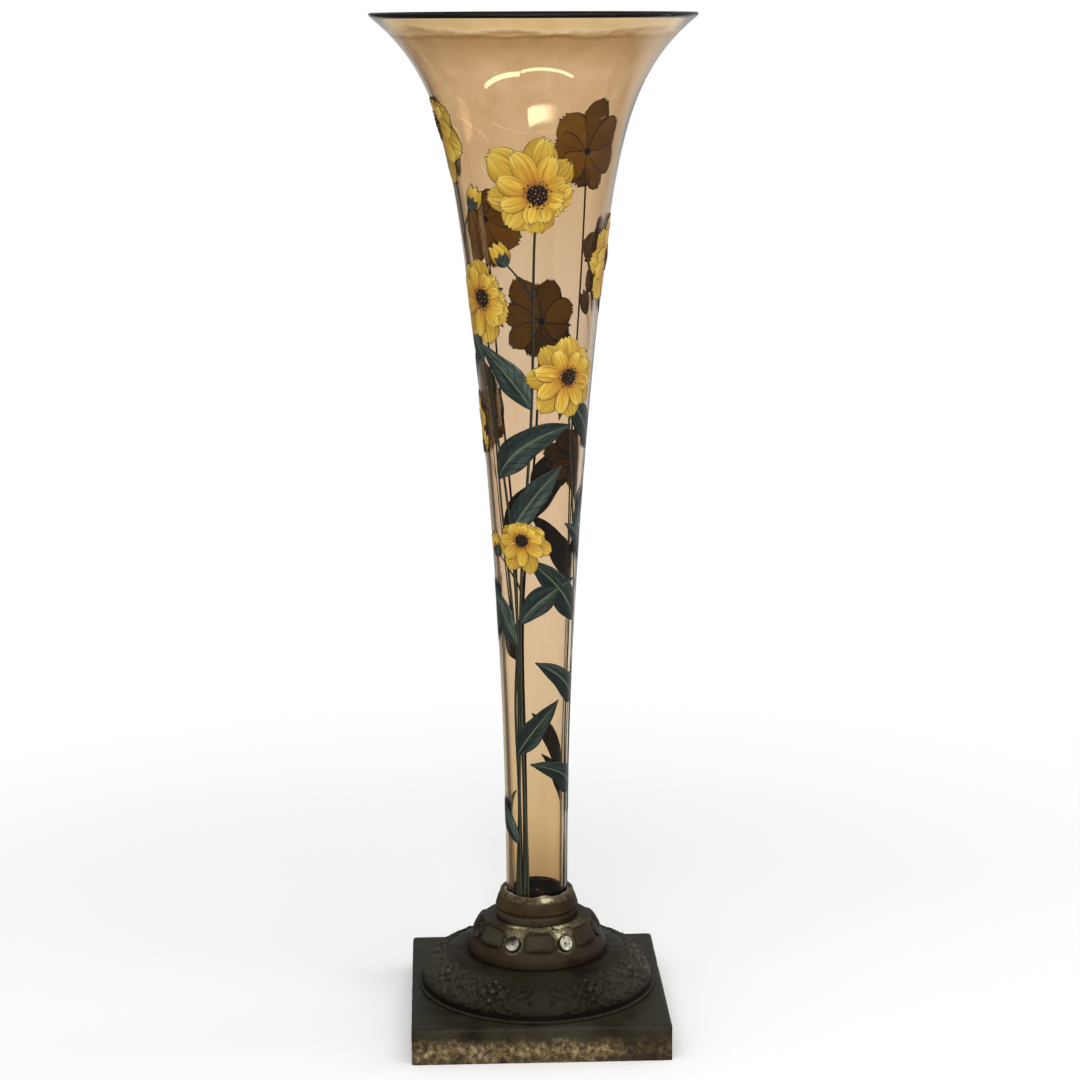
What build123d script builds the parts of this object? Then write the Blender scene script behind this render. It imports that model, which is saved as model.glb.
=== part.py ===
from build123d import *
from math import hypot
import os

# A trumpet vase: a blown glass horn bedded in plaster in a bronze mount of collar, bell, dome and
# square plinth, all drawn together by one long bolt.
# Millimetres, +Z up, -Y is the front, origin at the centre of the plinth's underside.

# Glass: a horn whose radius is the stem's plus two powers of the height
stem_radius = 18.3
cone_flare_width = 40.0
cone_flare_power = 2
rim_flare_width = 34.0
rim_flare_power = 17
trumpet_height = 515.0
stem_wall = 3.6
lip_wall = 2.4
glass_foot_round = 5.0
bore_below_lip = 10.0
bore_floor_round = 8.0
profile_steps = 12

# Plaster between the glass and the collar
plaster_wall = 1.3
plaster_floor = 2.0
plaster_below_lip = 0.4

# Collar: a turned cup for the foot of the glass, with a spigot that drops into the bell
collar_spigot_wall = 2.4
collar_spigot_length = 9.7
collar_floor = 4.0
collar_flange_width = 3.3
collar_bead_height = 5.5
collar_bead_taper = 1.5
collar_groove_height = 0.9
collar_groove_depth = 0.8
collar_drum_inset = 0.3
collar_drum_height = 8.0
collar_lip_wall = 2.4
collar_lip_height = 2.9

# Bell: a shell of skirt, sloping band and shoulder that carries the collar
bell_wall = 4.0
bell_seat_margin = 0.8
bell_shoulder_width = 6.4
bell_shoulder_height = 1.2
band_spread = 4.5
band_height = 8.5
bell_skirt_width = 5.0
bell_skirt_height = 10.5
bell_foot_height = 1.6
bell_seat_width = 5.0
bell_register_depth = 3.0

# Cushion bosses cast on the bell's band, placed by their height above the band's lower edge
boss_count = 7
boss_height = 9.8
boss_low_width = 19.5
boss_high_width = 15.5
boss_corner_radius = 2.6
boss_proud = 2.3
boss_root = 3.0
boss_edge_radius = 2.0
boss_lift = 3.6

# Dished studs between the bosses, placed like them
stud_radius = 5.0
stud_rim_height = 1.1
stud_ring_width = 1.6
stud_pit_height = 0.6
stud_shank_radius = 1.6
stud_shank_length = 5.5
stud_seat_depth = 0.5
stud_lift = 2.5

# Dome: a cushion-shaped shell with a flat crown for the bell and a foot ring on the plinth
dome_height = 22.0
dome_wall = 4.0
dome_crown_margin = 2.0
dome_shoulder_width = 26.0
dome_foot_step = 1.5
dome_foot_height = 2.0
dome_foot_ring_width = 11.5
dome_foot_ring_height = 5.0

# Plinth: a square casting, hollow from below
plinth_margin = 4.5
plinth_height = 21.5
plinth_side_wall = 6.0
plinth_top_wall = 6.0
plinth_corner_radius = 1.0
plinth_edge_radius = 1.5

# Bolt, washer and nut
bolt_radius = 5.0
bolt_head_overhang = 4.0
bolt_head_height = 3.0
bolt_neck_extra = 0.2
bolt_tail = 1.5
washer_width = 9.0
washer_thickness = 1.5
nut_wall = 3.5
nut_height = 6.0

# Dowels between dome and plinth
dowel_count = 2
dowel_radius = 2.0
dowel_depth = 3.5

# Clearances
slip_fit = 0.05
bolt_clearance = 0.3

# Radii, from the glass outwards
cup_radius = stem_radius + plaster_wall
spigot_radius = cup_radius + collar_spigot_wall
collar_foot_radius = spigot_radius + collar_flange_width
bell_bore_radius = spigot_radius + slip_fit
band_high_radius = collar_foot_radius + bell_seat_margin + bell_shoulder_width
band_low_radius = band_high_radius + band_spread
bell_foot_radius = band_low_radius + bell_skirt_width
dome_opening_radius = bell_foot_radius - bell_seat_width
register_radius = dome_opening_radius - slip_fit
dome_crown_radius = bell_foot_radius + dome_crown_margin
dome_skirt_radius = dome_crown_radius + dome_shoulder_width
dome_radius = dome_skirt_radius + dome_foot_step
dowel_circle_radius = dome_radius - dome_foot_ring_width / 2
plinth_width = 2 * (dome_radius + plinth_margin)
bolt_head_radius = bolt_radius + bolt_head_overhang
bolt_hole_radius = bolt_radius + bolt_clearance

# Heights of the seats, from the plinth's underside upwards
plinth_ceiling = plinth_height - plinth_top_wall
dome_seat = plinth_height
bell_seat = dome_seat + dome_height
band_low = bell_seat + bell_skirt_height
band_high = band_low + band_height
collar_seat = band_high + bell_shoulder_height
collar_bead_top = collar_seat + collar_bead_height
collar_groove_top = collar_bead_top + collar_groove_height
collar_drum_top = collar_groove_top + collar_drum_height
collar_lip = collar_drum_top + collar_lip_height
cup_underside = collar_seat - collar_spigot_length
cup_floor = cup_underside + collar_floor
glass_foot = cup_floor + bolt_head_height + plaster_floor


def turned(*edges):
    # A closed outline drawn as (radius, height), turned about the Z axis
    return revolve(Plane.XZ * make_face(edges), Axis.Z)


def drum(radius, low, high):
    return Pos(0, 0, low) * Cylinder(radius, high - low, align=(Align.CENTER, Align.CENTER, Align.MIN))


def around(shape, count, first=0.0):
    # Copies of a shape at equal steps about the Z axis
    return [Rot(0, 0, first + 360 / count * index) * shape for index in range(count)]


def band_plane(lift):
    # The plane that touches the front of the bell's band at a height above the band's lower edge
    radius = band_low_radius - band_spread * lift / band_height
    return Plane(origin=(0, -radius, band_low + lift), x_dir=(1, 0, 0), z_dir=(0, -band_height, band_spread))


def make_plinth():
    block = Pos(0, 0, plinth_height / 2) * Box(plinth_width, plinth_width, plinth_height)
    block = fillet(block.edges().filter_by(Axis.Z), plinth_corner_radius)
    block = fillet(block.faces().sort_by(Axis.Z)[-1].edges(), plinth_edge_radius)
    hollow_width = plinth_width - 2 * plinth_side_wall
    hollow = Pos(0, 0, plinth_ceiling / 2) * Box(hollow_width, hollow_width, plinth_ceiling)
    bolt_hole = drum(bolt_hole_radius, plinth_ceiling, plinth_height)
    return block - hollow - bolt_hole - dowels(slip_fit)


def make_dome():
    foot_top = dome_seat + dome_foot_height
    ring_top = dome_seat + dome_foot_ring_height
    ring_radius = dome_radius - dome_foot_ring_width
    hollow_width = dome_shoulder_width - dome_wall
    hollow_radius = dome_crown_radius + hollow_width
    hollow_top = bell_seat - dome_wall
    shell = turned(
        Polyline((ring_radius, dome_seat), (dome_radius, dome_seat), (dome_radius, foot_top),
                 (dome_skirt_radius, foot_top)),
        EllipticalCenterArc((dome_crown_radius, foot_top), dome_shoulder_width, bell_seat - foot_top),
        Polyline((dome_crown_radius, bell_seat), (dome_opening_radius, bell_seat),
                 (dome_opening_radius, hollow_top), (dome_crown_radius, hollow_top)),
        EllipticalCenterArc((dome_crown_radius, ring_top), hollow_width, hollow_top - ring_top),
        Polyline((hollow_radius, ring_top), (ring_radius, ring_top), (ring_radius, dome_seat)),
    )
    return shell - dowels(slip_fit)


def dowels(extra):
    # The pins themselves, or their holes where extra room is asked for
    pin = Pos(0, dowel_circle_radius, dome_seat) * Cylinder(dowel_radius + extra, 2 * (dowel_depth + extra))
    return around(pin, dowel_count)


def make_bell():
    foot_top = (bell_foot_radius, bell_seat + bell_foot_height)
    skirt_top = (band_low_radius, band_low)
    seat_edge = (collar_foot_radius + bell_seat_margin, collar_seat)
    ceiling = collar_seat - bell_wall
    hollow_radius = register_radius - bell_wall
    register_low = bell_seat - bell_register_depth
    shell = turned(
        Line((bell_foot_radius, bell_seat), foot_top),
        Spline(foot_top, skirt_top, tangents=[(0, 1), (-band_spread, band_height)]),
        Polyline(skirt_top, (band_high_radius, band_high), seat_edge, (bell_bore_radius, collar_seat),
                 (bell_bore_radius, ceiling), (band_high_radius - bell_wall, ceiling),
                 (band_low_radius - bell_wall, band_low), (hollow_radius, bell_seat),
                 (hollow_radius, register_low), (register_radius, register_low), (register_radius, bell_seat),
                 (bell_foot_radius, bell_seat)),
    )
    shell += around(make_boss(), boss_count)
    return shell - around(make_stud_seat(), boss_count, 180 / boss_count)


def make_boss():
    low, high, half = boss_low_width / 2, boss_high_width / 2, boss_height / 2
    outline = Polygon((-low, -half), (low, -half), (high, half), (-high, half))
    outline = fillet(outline.vertices(), boss_corner_radius)
    cushion = extrude(Pos(0, 0, -boss_root) * outline, boss_root + boss_proud)
    cushion = fillet(cushion.faces().sort_by(Axis.Z)[-1].edges(), boss_edge_radius)
    return band_plane(boss_lift) * cushion


def make_stud_seat():
    # A flat with room for the stud's head and the hole for its shank
    head_room = extrude(Circle(stud_radius + slip_fit), stud_rim_height + stud_ring_width + boss_proud)
    shank_hole = extrude(Circle(stud_shank_radius + slip_fit), -stud_shank_length - slip_fit)
    return band_plane(stud_lift) * Pos(0, 0, -stud_seat_depth) * (head_room + shank_hole)


def make_stud():
    pit_radius = stud_radius - stud_ring_width
    ring_middle = stud_radius - stud_ring_width / 2
    stud = turned(
        Polyline((pit_radius, stud_rim_height), (pit_radius, stud_pit_height), (0, stud_pit_height),
                 (0, -stud_shank_length), (stud_shank_radius, -stud_shank_length), (stud_shank_radius, 0),
                 (stud_radius, 0), (stud_radius, stud_rim_height)),
        CenterArc((ring_middle, stud_rim_height), stud_ring_width / 2, 0, 180),
    )
    return band_plane(stud_lift) * Pos(0, 0, -stud_seat_depth) * stud


def make_studs():
    return Compound(children=around(make_stud(), boss_count, 180 / boss_count))


def make_collar():
    drum_radius = collar_foot_radius - collar_drum_inset
    groove_radius = drum_radius - collar_groove_depth
    cup = turned(
        Polyline((0, cup_underside), (spigot_radius, cup_underside), (spigot_radius, collar_seat),
                 (collar_foot_radius - collar_bead_taper, collar_seat), (collar_foot_radius, collar_bead_top),
                 (groove_radius, collar_bead_top), (groove_radius, collar_groove_top),
                 (drum_radius, collar_groove_top), (cup_radius + collar_lip_wall, collar_drum_top)),
        EllipticalCenterArc((cup_radius, collar_drum_top), collar_lip_wall, collar_lip_height),
        Polyline((cup_radius, collar_lip), (cup_radius, cup_floor), (0, cup_floor), (0, cup_underside)),
    )
    return cup - bolt_neck(slip_fit)


def horn_point(share, inside):
    # A point of the glass at a share of the free height, on its outer or its inner face
    radius, slope = stem_radius, 0
    for width, power in ((cone_flare_width, cone_flare_power), (rim_flare_width, rim_flare_power)):
        radius += width * share ** power
        slope += width * power * share ** (power - 1) / trumpet_height
    wall = (stem_wall + (lip_wall - stem_wall) * share) * inside
    length = hypot(1, slope)
    height = collar_lip + trumpet_height * share
    return (radius - wall / length, height + wall * slope / length), (slope / length, 1 / length)


def horn_line(inside):
    # A face of the horn from the collar's lip to the rim, with its points closer together at the rim
    shares = [1 - (1 - step / profile_steps) ** 2 for step in range(profile_steps + 1)]
    points = [horn_point(share, inside)[0] for share in shares]
    return Spline(*points, tangents=[(0, 1), horn_point(1, inside)[1]])


def glass_foot_line():
    # The outer face of the foot, from the axis up to the collar's lip
    flat_end = (stem_radius - glass_foot_round, glass_foot)
    round_centre = (stem_radius - glass_foot_round, glass_foot + glass_foot_round)
    return [
        Line((0, glass_foot), flat_end),
        CenterArc(round_centre, glass_foot_round, -90, 90),
        Line((stem_radius, glass_foot + glass_foot_round), (stem_radius, collar_lip)),
    ]


def make_glass():
    rim_middle, rim_direction = horn_point(1, 0.5)
    rim_tip = Vector(rim_middle) + Vector(rim_direction) * lip_wall / 2
    bore_radius = stem_radius - stem_wall
    bore_floor = collar_lip - bore_below_lip
    round_centre = (bore_radius - bore_floor_round, bore_floor + bore_floor_round)
    return turned(
        *glass_foot_line(),
        horn_line(0),
        ThreePointArc(horn_point(1, 0)[0], rim_tip, horn_point(1, 1)[0]),
        horn_line(1),
        Line((bore_radius, collar_lip), (bore_radius, round_centre[1])),
        CenterArc(round_centre, bore_floor_round, -90, 90),
        Polyline((round_centre[0], bore_floor), (0, bore_floor), (0, glass_foot)),
    )


def make_plaster():
    top = collar_lip - plaster_below_lip
    bed = drum(cup_radius, cup_floor, top)
    glass_room = turned(
        *glass_foot_line(),
        Polyline((stem_radius, collar_lip), (0, collar_lip), (0, glass_foot)),
    )
    head_room = drum(bolt_head_radius, cup_floor, cup_floor + bolt_head_height)
    return bed - glass_room - head_room


def bolt_neck(extra):
    # The square neck in the collar's floor, or its hole where extra room is asked for
    width = 2 * (bolt_radius + bolt_neck_extra + extra)
    return Pos(0, 0, cup_floor - collar_floor / 2) * Box(width, width, collar_floor)


def make_bolt():
    tail_end = plinth_ceiling - washer_thickness - nut_height - bolt_tail
    head = drum(bolt_head_radius, cup_floor, cup_floor + bolt_head_height)
    shank = drum(bolt_radius, tail_end, cup_underside)
    return head + bolt_neck(0) + shank


def make_washer():
    low = plinth_ceiling - washer_thickness
    disc = drum(bolt_hole_radius + washer_width, low, plinth_ceiling)
    return disc - drum(bolt_hole_radius, low, plinth_ceiling)


def make_nut():
    low = plinth_ceiling - washer_thickness - nut_height
    hexagon = RegularPolygon(bolt_radius + nut_wall, 6, major_radius=False)
    return extrude(Pos(0, 0, low) * (hexagon - Circle(bolt_radius + slip_fit)), nut_height)


def make_dowels():
    return Compound(children=dowels(0))


pieces = {
    "glass_trumpet": make_glass,
    "plaster_bed": make_plaster,
    "collar_cup": make_collar,
    "bell_casting": make_bell,
    "bead_studs": make_studs,
    "dome_casting": make_dome,
    "plinth": make_plinth,
    "tie_bolt": make_bolt,
    "bolt_washer": make_washer,
    "bolt_nut": make_nut,
    "dowel_pins": make_dowels,
}

os.makedirs("parts", exist_ok=True)
for name, make in pieces.items():
    export_step(make(), f"parts/{name}.step")
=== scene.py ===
from math import cos, pi, radians, sin

import bmesh
import bpy
import numpy as np
from mathutils import Matrix, Vector


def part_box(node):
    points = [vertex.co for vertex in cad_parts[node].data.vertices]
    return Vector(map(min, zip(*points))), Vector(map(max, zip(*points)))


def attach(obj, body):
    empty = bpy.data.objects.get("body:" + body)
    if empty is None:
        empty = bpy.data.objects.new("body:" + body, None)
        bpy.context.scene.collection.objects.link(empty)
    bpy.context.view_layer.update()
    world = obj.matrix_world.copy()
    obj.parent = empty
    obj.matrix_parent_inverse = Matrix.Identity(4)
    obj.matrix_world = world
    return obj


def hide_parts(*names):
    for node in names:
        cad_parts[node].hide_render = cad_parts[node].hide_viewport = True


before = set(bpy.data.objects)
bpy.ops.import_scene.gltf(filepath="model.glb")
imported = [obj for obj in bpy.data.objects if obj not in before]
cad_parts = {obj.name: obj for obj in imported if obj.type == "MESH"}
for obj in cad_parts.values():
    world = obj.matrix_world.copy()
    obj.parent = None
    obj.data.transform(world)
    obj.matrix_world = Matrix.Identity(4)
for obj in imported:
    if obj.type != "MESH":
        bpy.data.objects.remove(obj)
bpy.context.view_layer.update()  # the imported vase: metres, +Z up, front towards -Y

scene = bpy.context.scene
scene.view_settings.view_transform = "Standard"
milli = 0.001  # sizes below are millimetres
fullTurn = 2 * pi
white = (1, 1, 1, 1)


def boxMm(name):
    low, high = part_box(name)
    return np.array(low) / milli, np.array(high) / milli


# mesh helpers

def hump(x, middle, spread):  # 1 at its middle, fading to both sides
    return np.exp(-((x - middle) / spread) ** 2)


def climb(x, start, end):  # 0 before the start, 1 past the end
    return np.clip((x - start) / (end - start), 0, 1)


def faceOut(mesh, weld=False):  # turns every face outwards, welding closes the poles first
    work = bmesh.new()
    work.from_mesh(mesh)
    if weld:
        bmesh.ops.remove_doubles(work, verts=work.verts, dist=1e-7)
    bmesh.ops.recalc_face_normals(work, faces=work.faces)
    work.to_mesh(mesh)
    work.free()


def makePiece(name, points, faces, material, weld=False):
    mesh = bpy.data.meshes.new(name)
    mesh.from_pydata((np.asarray(points) * milli).tolist(), [], np.asarray(faces).tolist())
    if weld:
        faceOut(mesh, weld=True)
    mesh.shade_smooth()
    mesh.materials.append(material)
    piece = bpy.data.objects.new(name, mesh)
    scene.collection.objects.link(piece)
    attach(piece, "root")
    return piece


def addMarks(piece, **marks):  # one number a vertex each, for the material to read
    for name, values in marks.items():
        layer = piece.data.attributes.new(name, "FLOAT", "POINT")
        layer.data.foreach_set("value", np.asarray(values, np.float32).ravel())


def roundCorners(corners, steps=7, closed=False):
    # (radius, height, reach): each corner is eased over its reach on both sides
    line = []
    count = len(corners)
    for index, (r, z, reach) in enumerate(corners):
        here = np.array((r, z), float)
        if reach == 0 or (not closed and index in (0, count - 1)):
            line.append(here)
            continue
        back = np.array(corners[index - 1][:2], float) - here
        ahead = np.array(corners[(index + 1) % count][:2], float) - here
        start = here + back / np.linalg.norm(back) * reach
        end = here + ahead / np.linalg.norm(ahead) * reach
        for t in np.linspace(0, 1, steps):
            line.append((1 - t) ** 2 * start + 2 * t * (1 - t) * here + t * t * end)
    return np.array(line)


def evenAngles(count):
    return np.linspace(0, fullTurn, count, endpoint=False)


def turn(profile, angles, lift=None, closed=True):
    # a profile of (radius, height) carried round the axis, lifted along its own normal
    profile = np.asarray(profile, float)
    run = np.roll(profile, -1, 0) - np.roll(profile, 1, 0) if closed else np.gradient(profile, axis=0)
    normal = np.stack([run[:, 1], -run[:, 0]], 1)
    normal /= np.linalg.norm(normal, axis=1)[:, None] + 1e-12
    lift = np.zeros((len(angles), len(profile))) if lift is None else lift
    radius = profile[:, 0] + lift * normal[:, 0]
    height = profile[:, 1] + lift * normal[:, 1]
    points = np.stack([radius * np.sin(angles)[:, None], -radius * np.cos(angles)[:, None], height], -1)
    rows, cols = points.shape[:2]
    grid = np.arange(rows * cols).reshape(rows, cols)
    right = np.roll(grid, -1, 0)
    up = np.roll(grid, -1, 1)
    corner = np.roll(right, -1, 1)
    last = None if closed else -1
    faces = np.stack([grid, right, corner, up], -1)[:, :last].reshape(-1, 4)
    return points.reshape(-1, 3), faces


def blur(field, rounds):  # softens a ring-shaped height field
    for _ in range(rounds):
        field = (np.roll(field, 1, 0) + np.roll(field, -1, 0) + 2 * field) / 4
        field[:, 1:-1] = (field[:, :-2] + field[:, 2:] + 2 * field[:, 1:-1]) / 4
    return field


def ripple(points, size, seed, waves=7):  # smooth unevenness, about -1 to 1
    draw = np.random.default_rng(seed)
    total = np.zeros(len(points))
    for _ in range(waves):
        way = draw.normal(size=3)
        way *= fullTurn / size / np.linalg.norm(way) * draw.uniform(0.7, 1.6)
        total += np.sin(points @ way + draw.uniform(0, fullTurn))
    return total / waves * 1.7


def compass(points):  # degrees round the axis from the front, and distance from the axis
    return np.degrees(np.arctan2(points[:, 0], -points[:, 1])), np.hypot(points[:, 0], points[:, 1])


# node helpers

def feed(socket, value):
    if isinstance(value, bpy.types.NodeSocket):
        socket.id_data.links.new(value, socket)
    else:
        socket.default_value = value


def fill(made, values):  # each named socket gets a link or a plain value
    for key, value in values.items():
        feed(made.inputs[key], value)


def node(tree, kind, inputs=None, **settings):
    made = tree.nodes.new("ShaderNode" + kind)
    for key, value in settings.items():
        setattr(made, key, value)
    fill(made, inputs or {})
    return made


def nextNode(kind, inputs, **settings):  # a node in the tree that its inputs come from
    tree = next(value.id_data for value in inputs.values() if isinstance(value, bpy.types.NodeSocket))
    return node(tree, kind, inputs, **settings)


def emptyTree(owner):  # of a material, a lamp or the world
    owner.use_nodes = True
    owner.node_tree.nodes.clear()
    return owner.node_tree


def newMaterial(name):
    material = bpy.data.materials.new(name)
    tree = emptyTree(material)
    shader = node(tree, "BsdfPrincipled")
    node(tree, "OutputMaterial", {"Surface": shader.outputs[0]})
    return material, tree, shader


def opaque(colour):  # colours are written down without their alpha
    return (*colour, 1) if isinstance(colour, tuple) else colour


def mark(tree, name):
    return node(tree, "Attribute", attribute_name=name).outputs["Fac"]


def noise(vector, scale, detail=4.0, roughness=0.55):
    inputs = {"Vector": vector, "Scale": scale, "Detail": detail, "Roughness": roughness}
    return nextNode("TexNoise", inputs).outputs["Fac"]


def calc(operation, a, b=0.0):
    return nextNode("Math", {0: a, 1: b}, operation=operation).outputs[0]


def times(total, *others):
    for other in others:
        total = calc("MULTIPLY", total, other)
    return total


def plus(a, b):
    return calc("ADD", a, b)


def minus(a, b):
    return calc("SUBTRACT", a, b)


def mix(factor, a, b, mode="MIX"):
    inputs = {0: factor, 6: opaque(a), 7: opaque(b)}
    return nextNode("Mix", inputs, data_type="RGBA", blend_type=mode).outputs[2]


def between(value, low, high, toLow=0.0, toHigh=1.0):
    inputs = {"Value": value, "From Min": low, "From Max": high, "To Min": toLow, "To Max": toHigh}
    return nextNode("MapRange", inputs, interpolation_type="SMOOTHSTEP").outputs["Result"]


def ramp(factor, stops):
    made = nextNode("ValToRGB", {"Fac": factor})
    band = made.color_ramp
    while len(band.elements) < len(stops):
        band.elements.new(0.5)
    for element, (place, colour) in zip(band.elements, stops):
        element.position = place
        element.color = opaque(colour)
    return made.outputs["Color"]


def bump(height, distance, strength=1.0, normal=None):
    inputs = {"Height": height, "Distance": distance * milli, "Strength": strength}
    if normal is not None:
        inputs["Normal"] = normal
    return nextNode("Bump", inputs).outputs["Normal"]


def objectPlace(tree):
    return node(tree, "TexCoord").outputs["Object"]


def axisPart(vector, axis):
    return nextNode("SeparateXYZ", {"Vector": vector}).outputs[axis]


def stretch(vector, scale):
    return nextNode("Mapping", {"Vector": vector, "Scale": scale}).outputs[0]


def dot(a, b):
    return nextNode("VectorMath", {0: a, 1: b}, operation="DOT_PRODUCT").outputs["Value"]


# camera at the photograph's place

camera = {
    "place": (-0.0577, -1.4660, 0.6090), "yaw": 2.360, "pitch": 12.083, "roll": -0.201, "fov": 23.845,
    "sensor": 36.0, "clip": (0.05, 200.0),
}


def makeCamera():
    data = bpy.data.cameras.new("photoCamera")
    data.sensor_width = camera["sensor"]
    data.angle = radians(camera["fov"])
    data.clip_start, data.clip_end = camera["clip"]
    obj = bpy.data.objects.new("photoCamera", data)
    scene.collection.objects.link(obj)
    turned = Matrix.Rotation(radians(-camera["yaw"]), 4, "Z")
    turned @= Matrix.Rotation(radians(90 - camera["pitch"]), 4, "X")
    turned @= Matrix.Rotation(radians(camera["roll"]), 4, "Z")
    obj.matrix_world = Matrix.Translation(camera["place"]) @ turned
    scene.camera = obj


makeCamera()
print("camera set")


# studio: pale floor, white backdrop, soft boxes

studio = {
    "room": (0.48, 0.86),  # world light on rough surfaces, from behind and from the front
    "roomTurn": (0.5, -0.9),  # along Y, where the one goes over into the other
    "mirrorBack": 0.95,  # what mirrors see of the backdrop
    "mirrorRoom": (0.02, 0.22),  # and of the dim, uneven room in front of it
    "roomPatches": 3.0, "roomStretch": (1, 1, 0.35), "backdropWay": (0.26, 0.966, 0.0),
    "backdropEdge": (0.67, 0.91),
    "backdropTop": (0.75, 0.2),  # mirrors see it fade upwards
    "floorHalf": 40.0, "floorColour": (0.86, 0.86, 0.86), "floorInMirror": (0.14, 0.14, 0.14),
    "floorFade": (0.12, 0.75),  # metres from the axis where the floor turns white
    "lamps": [
        # name, place, target, width, height, watts
        ("rightTube", (0.88, -0.78, 1.90), (0.76, -0.09, 0.50), 1.20, 0.10, 8.8),
        ("leftTube", (-0.39, -0.73, 1.90), (-0.28, -0.04, 0.50), 1.28, 0.06, 6.2),
        ("sideBox", (1.90, 0.35, 0.80), (0, 0, 0.20), 0.5, 1.2, 6),
        ("keyBox", (-0.55, -2.025, 1.90), (0, 0.05, 0.55), 1.70, 0.44, 105),
    ],
    "keyFade": 1.3,  # the key box dims from its right end to its left with this power
    "keyEnd": 0.12,  # soft share of its right end
    "keySide": 0.3,  # and of its long sides
}


def rayKinds(tree):
    # rays that see the backdrop straight or through glass, and rays that see it in a reflection
    path = node(tree, "LightPath").outputs
    bounces = plus(path["Glossy Depth"], path["Diffuse Depth"])
    through = times(path["Is Transmission Ray"], calc("LESS_THAN", bounces, 0.5))
    clear = calc("MAXIMUM", path["Is Camera Ray"], through)
    mirroredOnce = calc("GREATER_THAN", path["Glossy Depth"], 0.5)
    bounced = times(path["Is Transmission Ray"], mirroredOnce)
    return clear, calc("MAXIMUM", path["Is Glossy Ray"], bounced)


def makeWorld():
    s = studio
    scene.world = bpy.data.worlds.new("studioWorld")
    tree = emptyTree(scene.world)
    clear, mirror = rayKinds(tree)
    way = node(tree, "TexCoord").outputs["Generated"]
    behind = between(dot(way, s["backdropWay"]), *s["backdropEdge"])
    backdrop = times(behind, between(axisPart(way, "Z"), *s["backdropTop"]))
    patches = noise(stretch(way, s["roomStretch"]), s["roomPatches"], 2.0)
    uneven = between(patches, 0.35, 0.7, *s["mirrorRoom"])
    mirrored = between(backdrop, 0.0, 1.0, uneven, s["mirrorBack"])
    room = between(axisPart(way, "Y"), *s["roomTurn"], *s["room"])
    bounced = nextNode("Mix", {0: mirror, 2: room, 3: mirrored}).outputs[0]
    strength = nextNode("Mix", {0: clear, 2: bounced, 3: 1.0}).outputs[0]
    sky = node(tree, "Background", {"Color": white, "Strength": strength})
    node(tree, "OutputWorld", {"Surface": sky.outputs[0]})


def makeFloor():
    s = studio
    material = bpy.data.materials.new("paleFloor")
    tree = emptyTree(material)
    clear, mirror = rayKinds(tree)
    flat = nextNode("VectorMath", {0: objectPlace(tree), 1: (1, 1, 0)}, operation="MULTIPLY").outputs[0]
    away = nextNode("VectorMath", {0: flat}, operation="LENGTH").outputs["Value"]
    far = times(between(away, *s["floorFade"]), clear)
    outward = nextNode("VectorMath", {0: flat}, operation="NORMALIZE").outputs[0]
    behind = between(dot(outward, s["backdropWay"]), *s["backdropEdge"])
    inMirror = times(mirror, minus(1.0, behind))
    paint = node(tree, "BsdfDiffuse", {"Color": mix(inMirror, s["floorColour"], s["floorInMirror"])})
    glow = node(tree, "Emission", {"Color": white, "Strength": 1.0})
    both = nextNode("MixShader", {0: far, 1: paint.outputs[0], 2: glow.outputs[0]})
    node(tree, "OutputMaterial", {"Surface": both.outputs[0]})
    mesh = bpy.data.meshes.new("floor")
    half = s["floorHalf"]
    corners = [(-half, -half, 0), (half, -half, 0), (half, half, 0), (-half, half, 0)]
    mesh.from_pydata(corners, [], [(0, 1, 2, 3)])
    mesh.materials.append(material)
    floor = bpy.data.objects.new("floor", mesh)
    scene.collection.objects.link(floor)


def softenKey(data):
    # full at the right end, with soft edges all round
    tree = emptyTree(data)
    over = node(tree, "NewGeometry").outputs["Parametric"]
    x = axisPart(over, "X")
    y = axisPart(over, "Y")
    ends = between(x, 1.0, 1 - studio["keyEnd"])
    level = times(calc("POWER", x, studio["keyFade"]), ends)
    side = studio["keySide"]
    edges = times(between(y, 0.0, side), between(y, 1.0, 1 - side))
    glow = node(tree, "Emission", {"Color": white, "Strength": times(level, edges)})
    node(tree, "OutputLight", {"Surface": glow.outputs[0]})


def makeLamps():
    for name, place, target, width, height, watts in studio["lamps"]:
        data = bpy.data.lights.new(name, "AREA")
        data.shape = "RECTANGLE"
        data.size, data.size_y, data.energy = width, height, watts
        lamp = bpy.data.objects.new(name, data)
        lamp.location = place
        lamp.rotation_euler = (Vector(target) - Vector(place)).to_track_quat("-Z", "Y").to_euler()
        scene.collection.objects.link(lamp)
        if name == "keyBox":
            softenKey(data)


makeWorld()
makeFloor()
makeLamps()
print("studio set")


# the glass horn

horn = {
    "lip": boxMm("collar_cup")[1][2],  # height of the collar's lip, where the free horn starts
    "foot": boxMm("glass_trumpet")[0][2], "height": 515.0, "stem": 18.3,
    "flares": ((40.0, 2), (34.0, 17)),  # width and power of the long cone and of the rim
    "stemWall": 3.6, "lipWall": 2.4, "footRound": 5.0, "boreBelowLip": 10.0, "boreRound": 8.0,
    "around": 256, "rows": 120,
    "crowd": 1.6,  # power that crowds the rows towards the rim
    "lipSteps": 17,
    "waviness": 0.10, "waveSize": 45.0, "waveLong": 0.35,  # of the inside, with longer waves upwards
    "rimBand": 1.1,  # dark line on the lip, down the inside
    "rimBandFrom": 5,  # of the steps round the lip, where the line starts
    "rimBandThick": 0.12,
    "rimBandRows": (12, 8),  # rows that make room for it, outside and inside
    "rimColours": [(0.30, (0.004, 0.003, 0.002)), (0.62, (0.010, 0.006, 0.004)),
                   (0.80, (0.06, 0.036, 0.016))],
}

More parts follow.
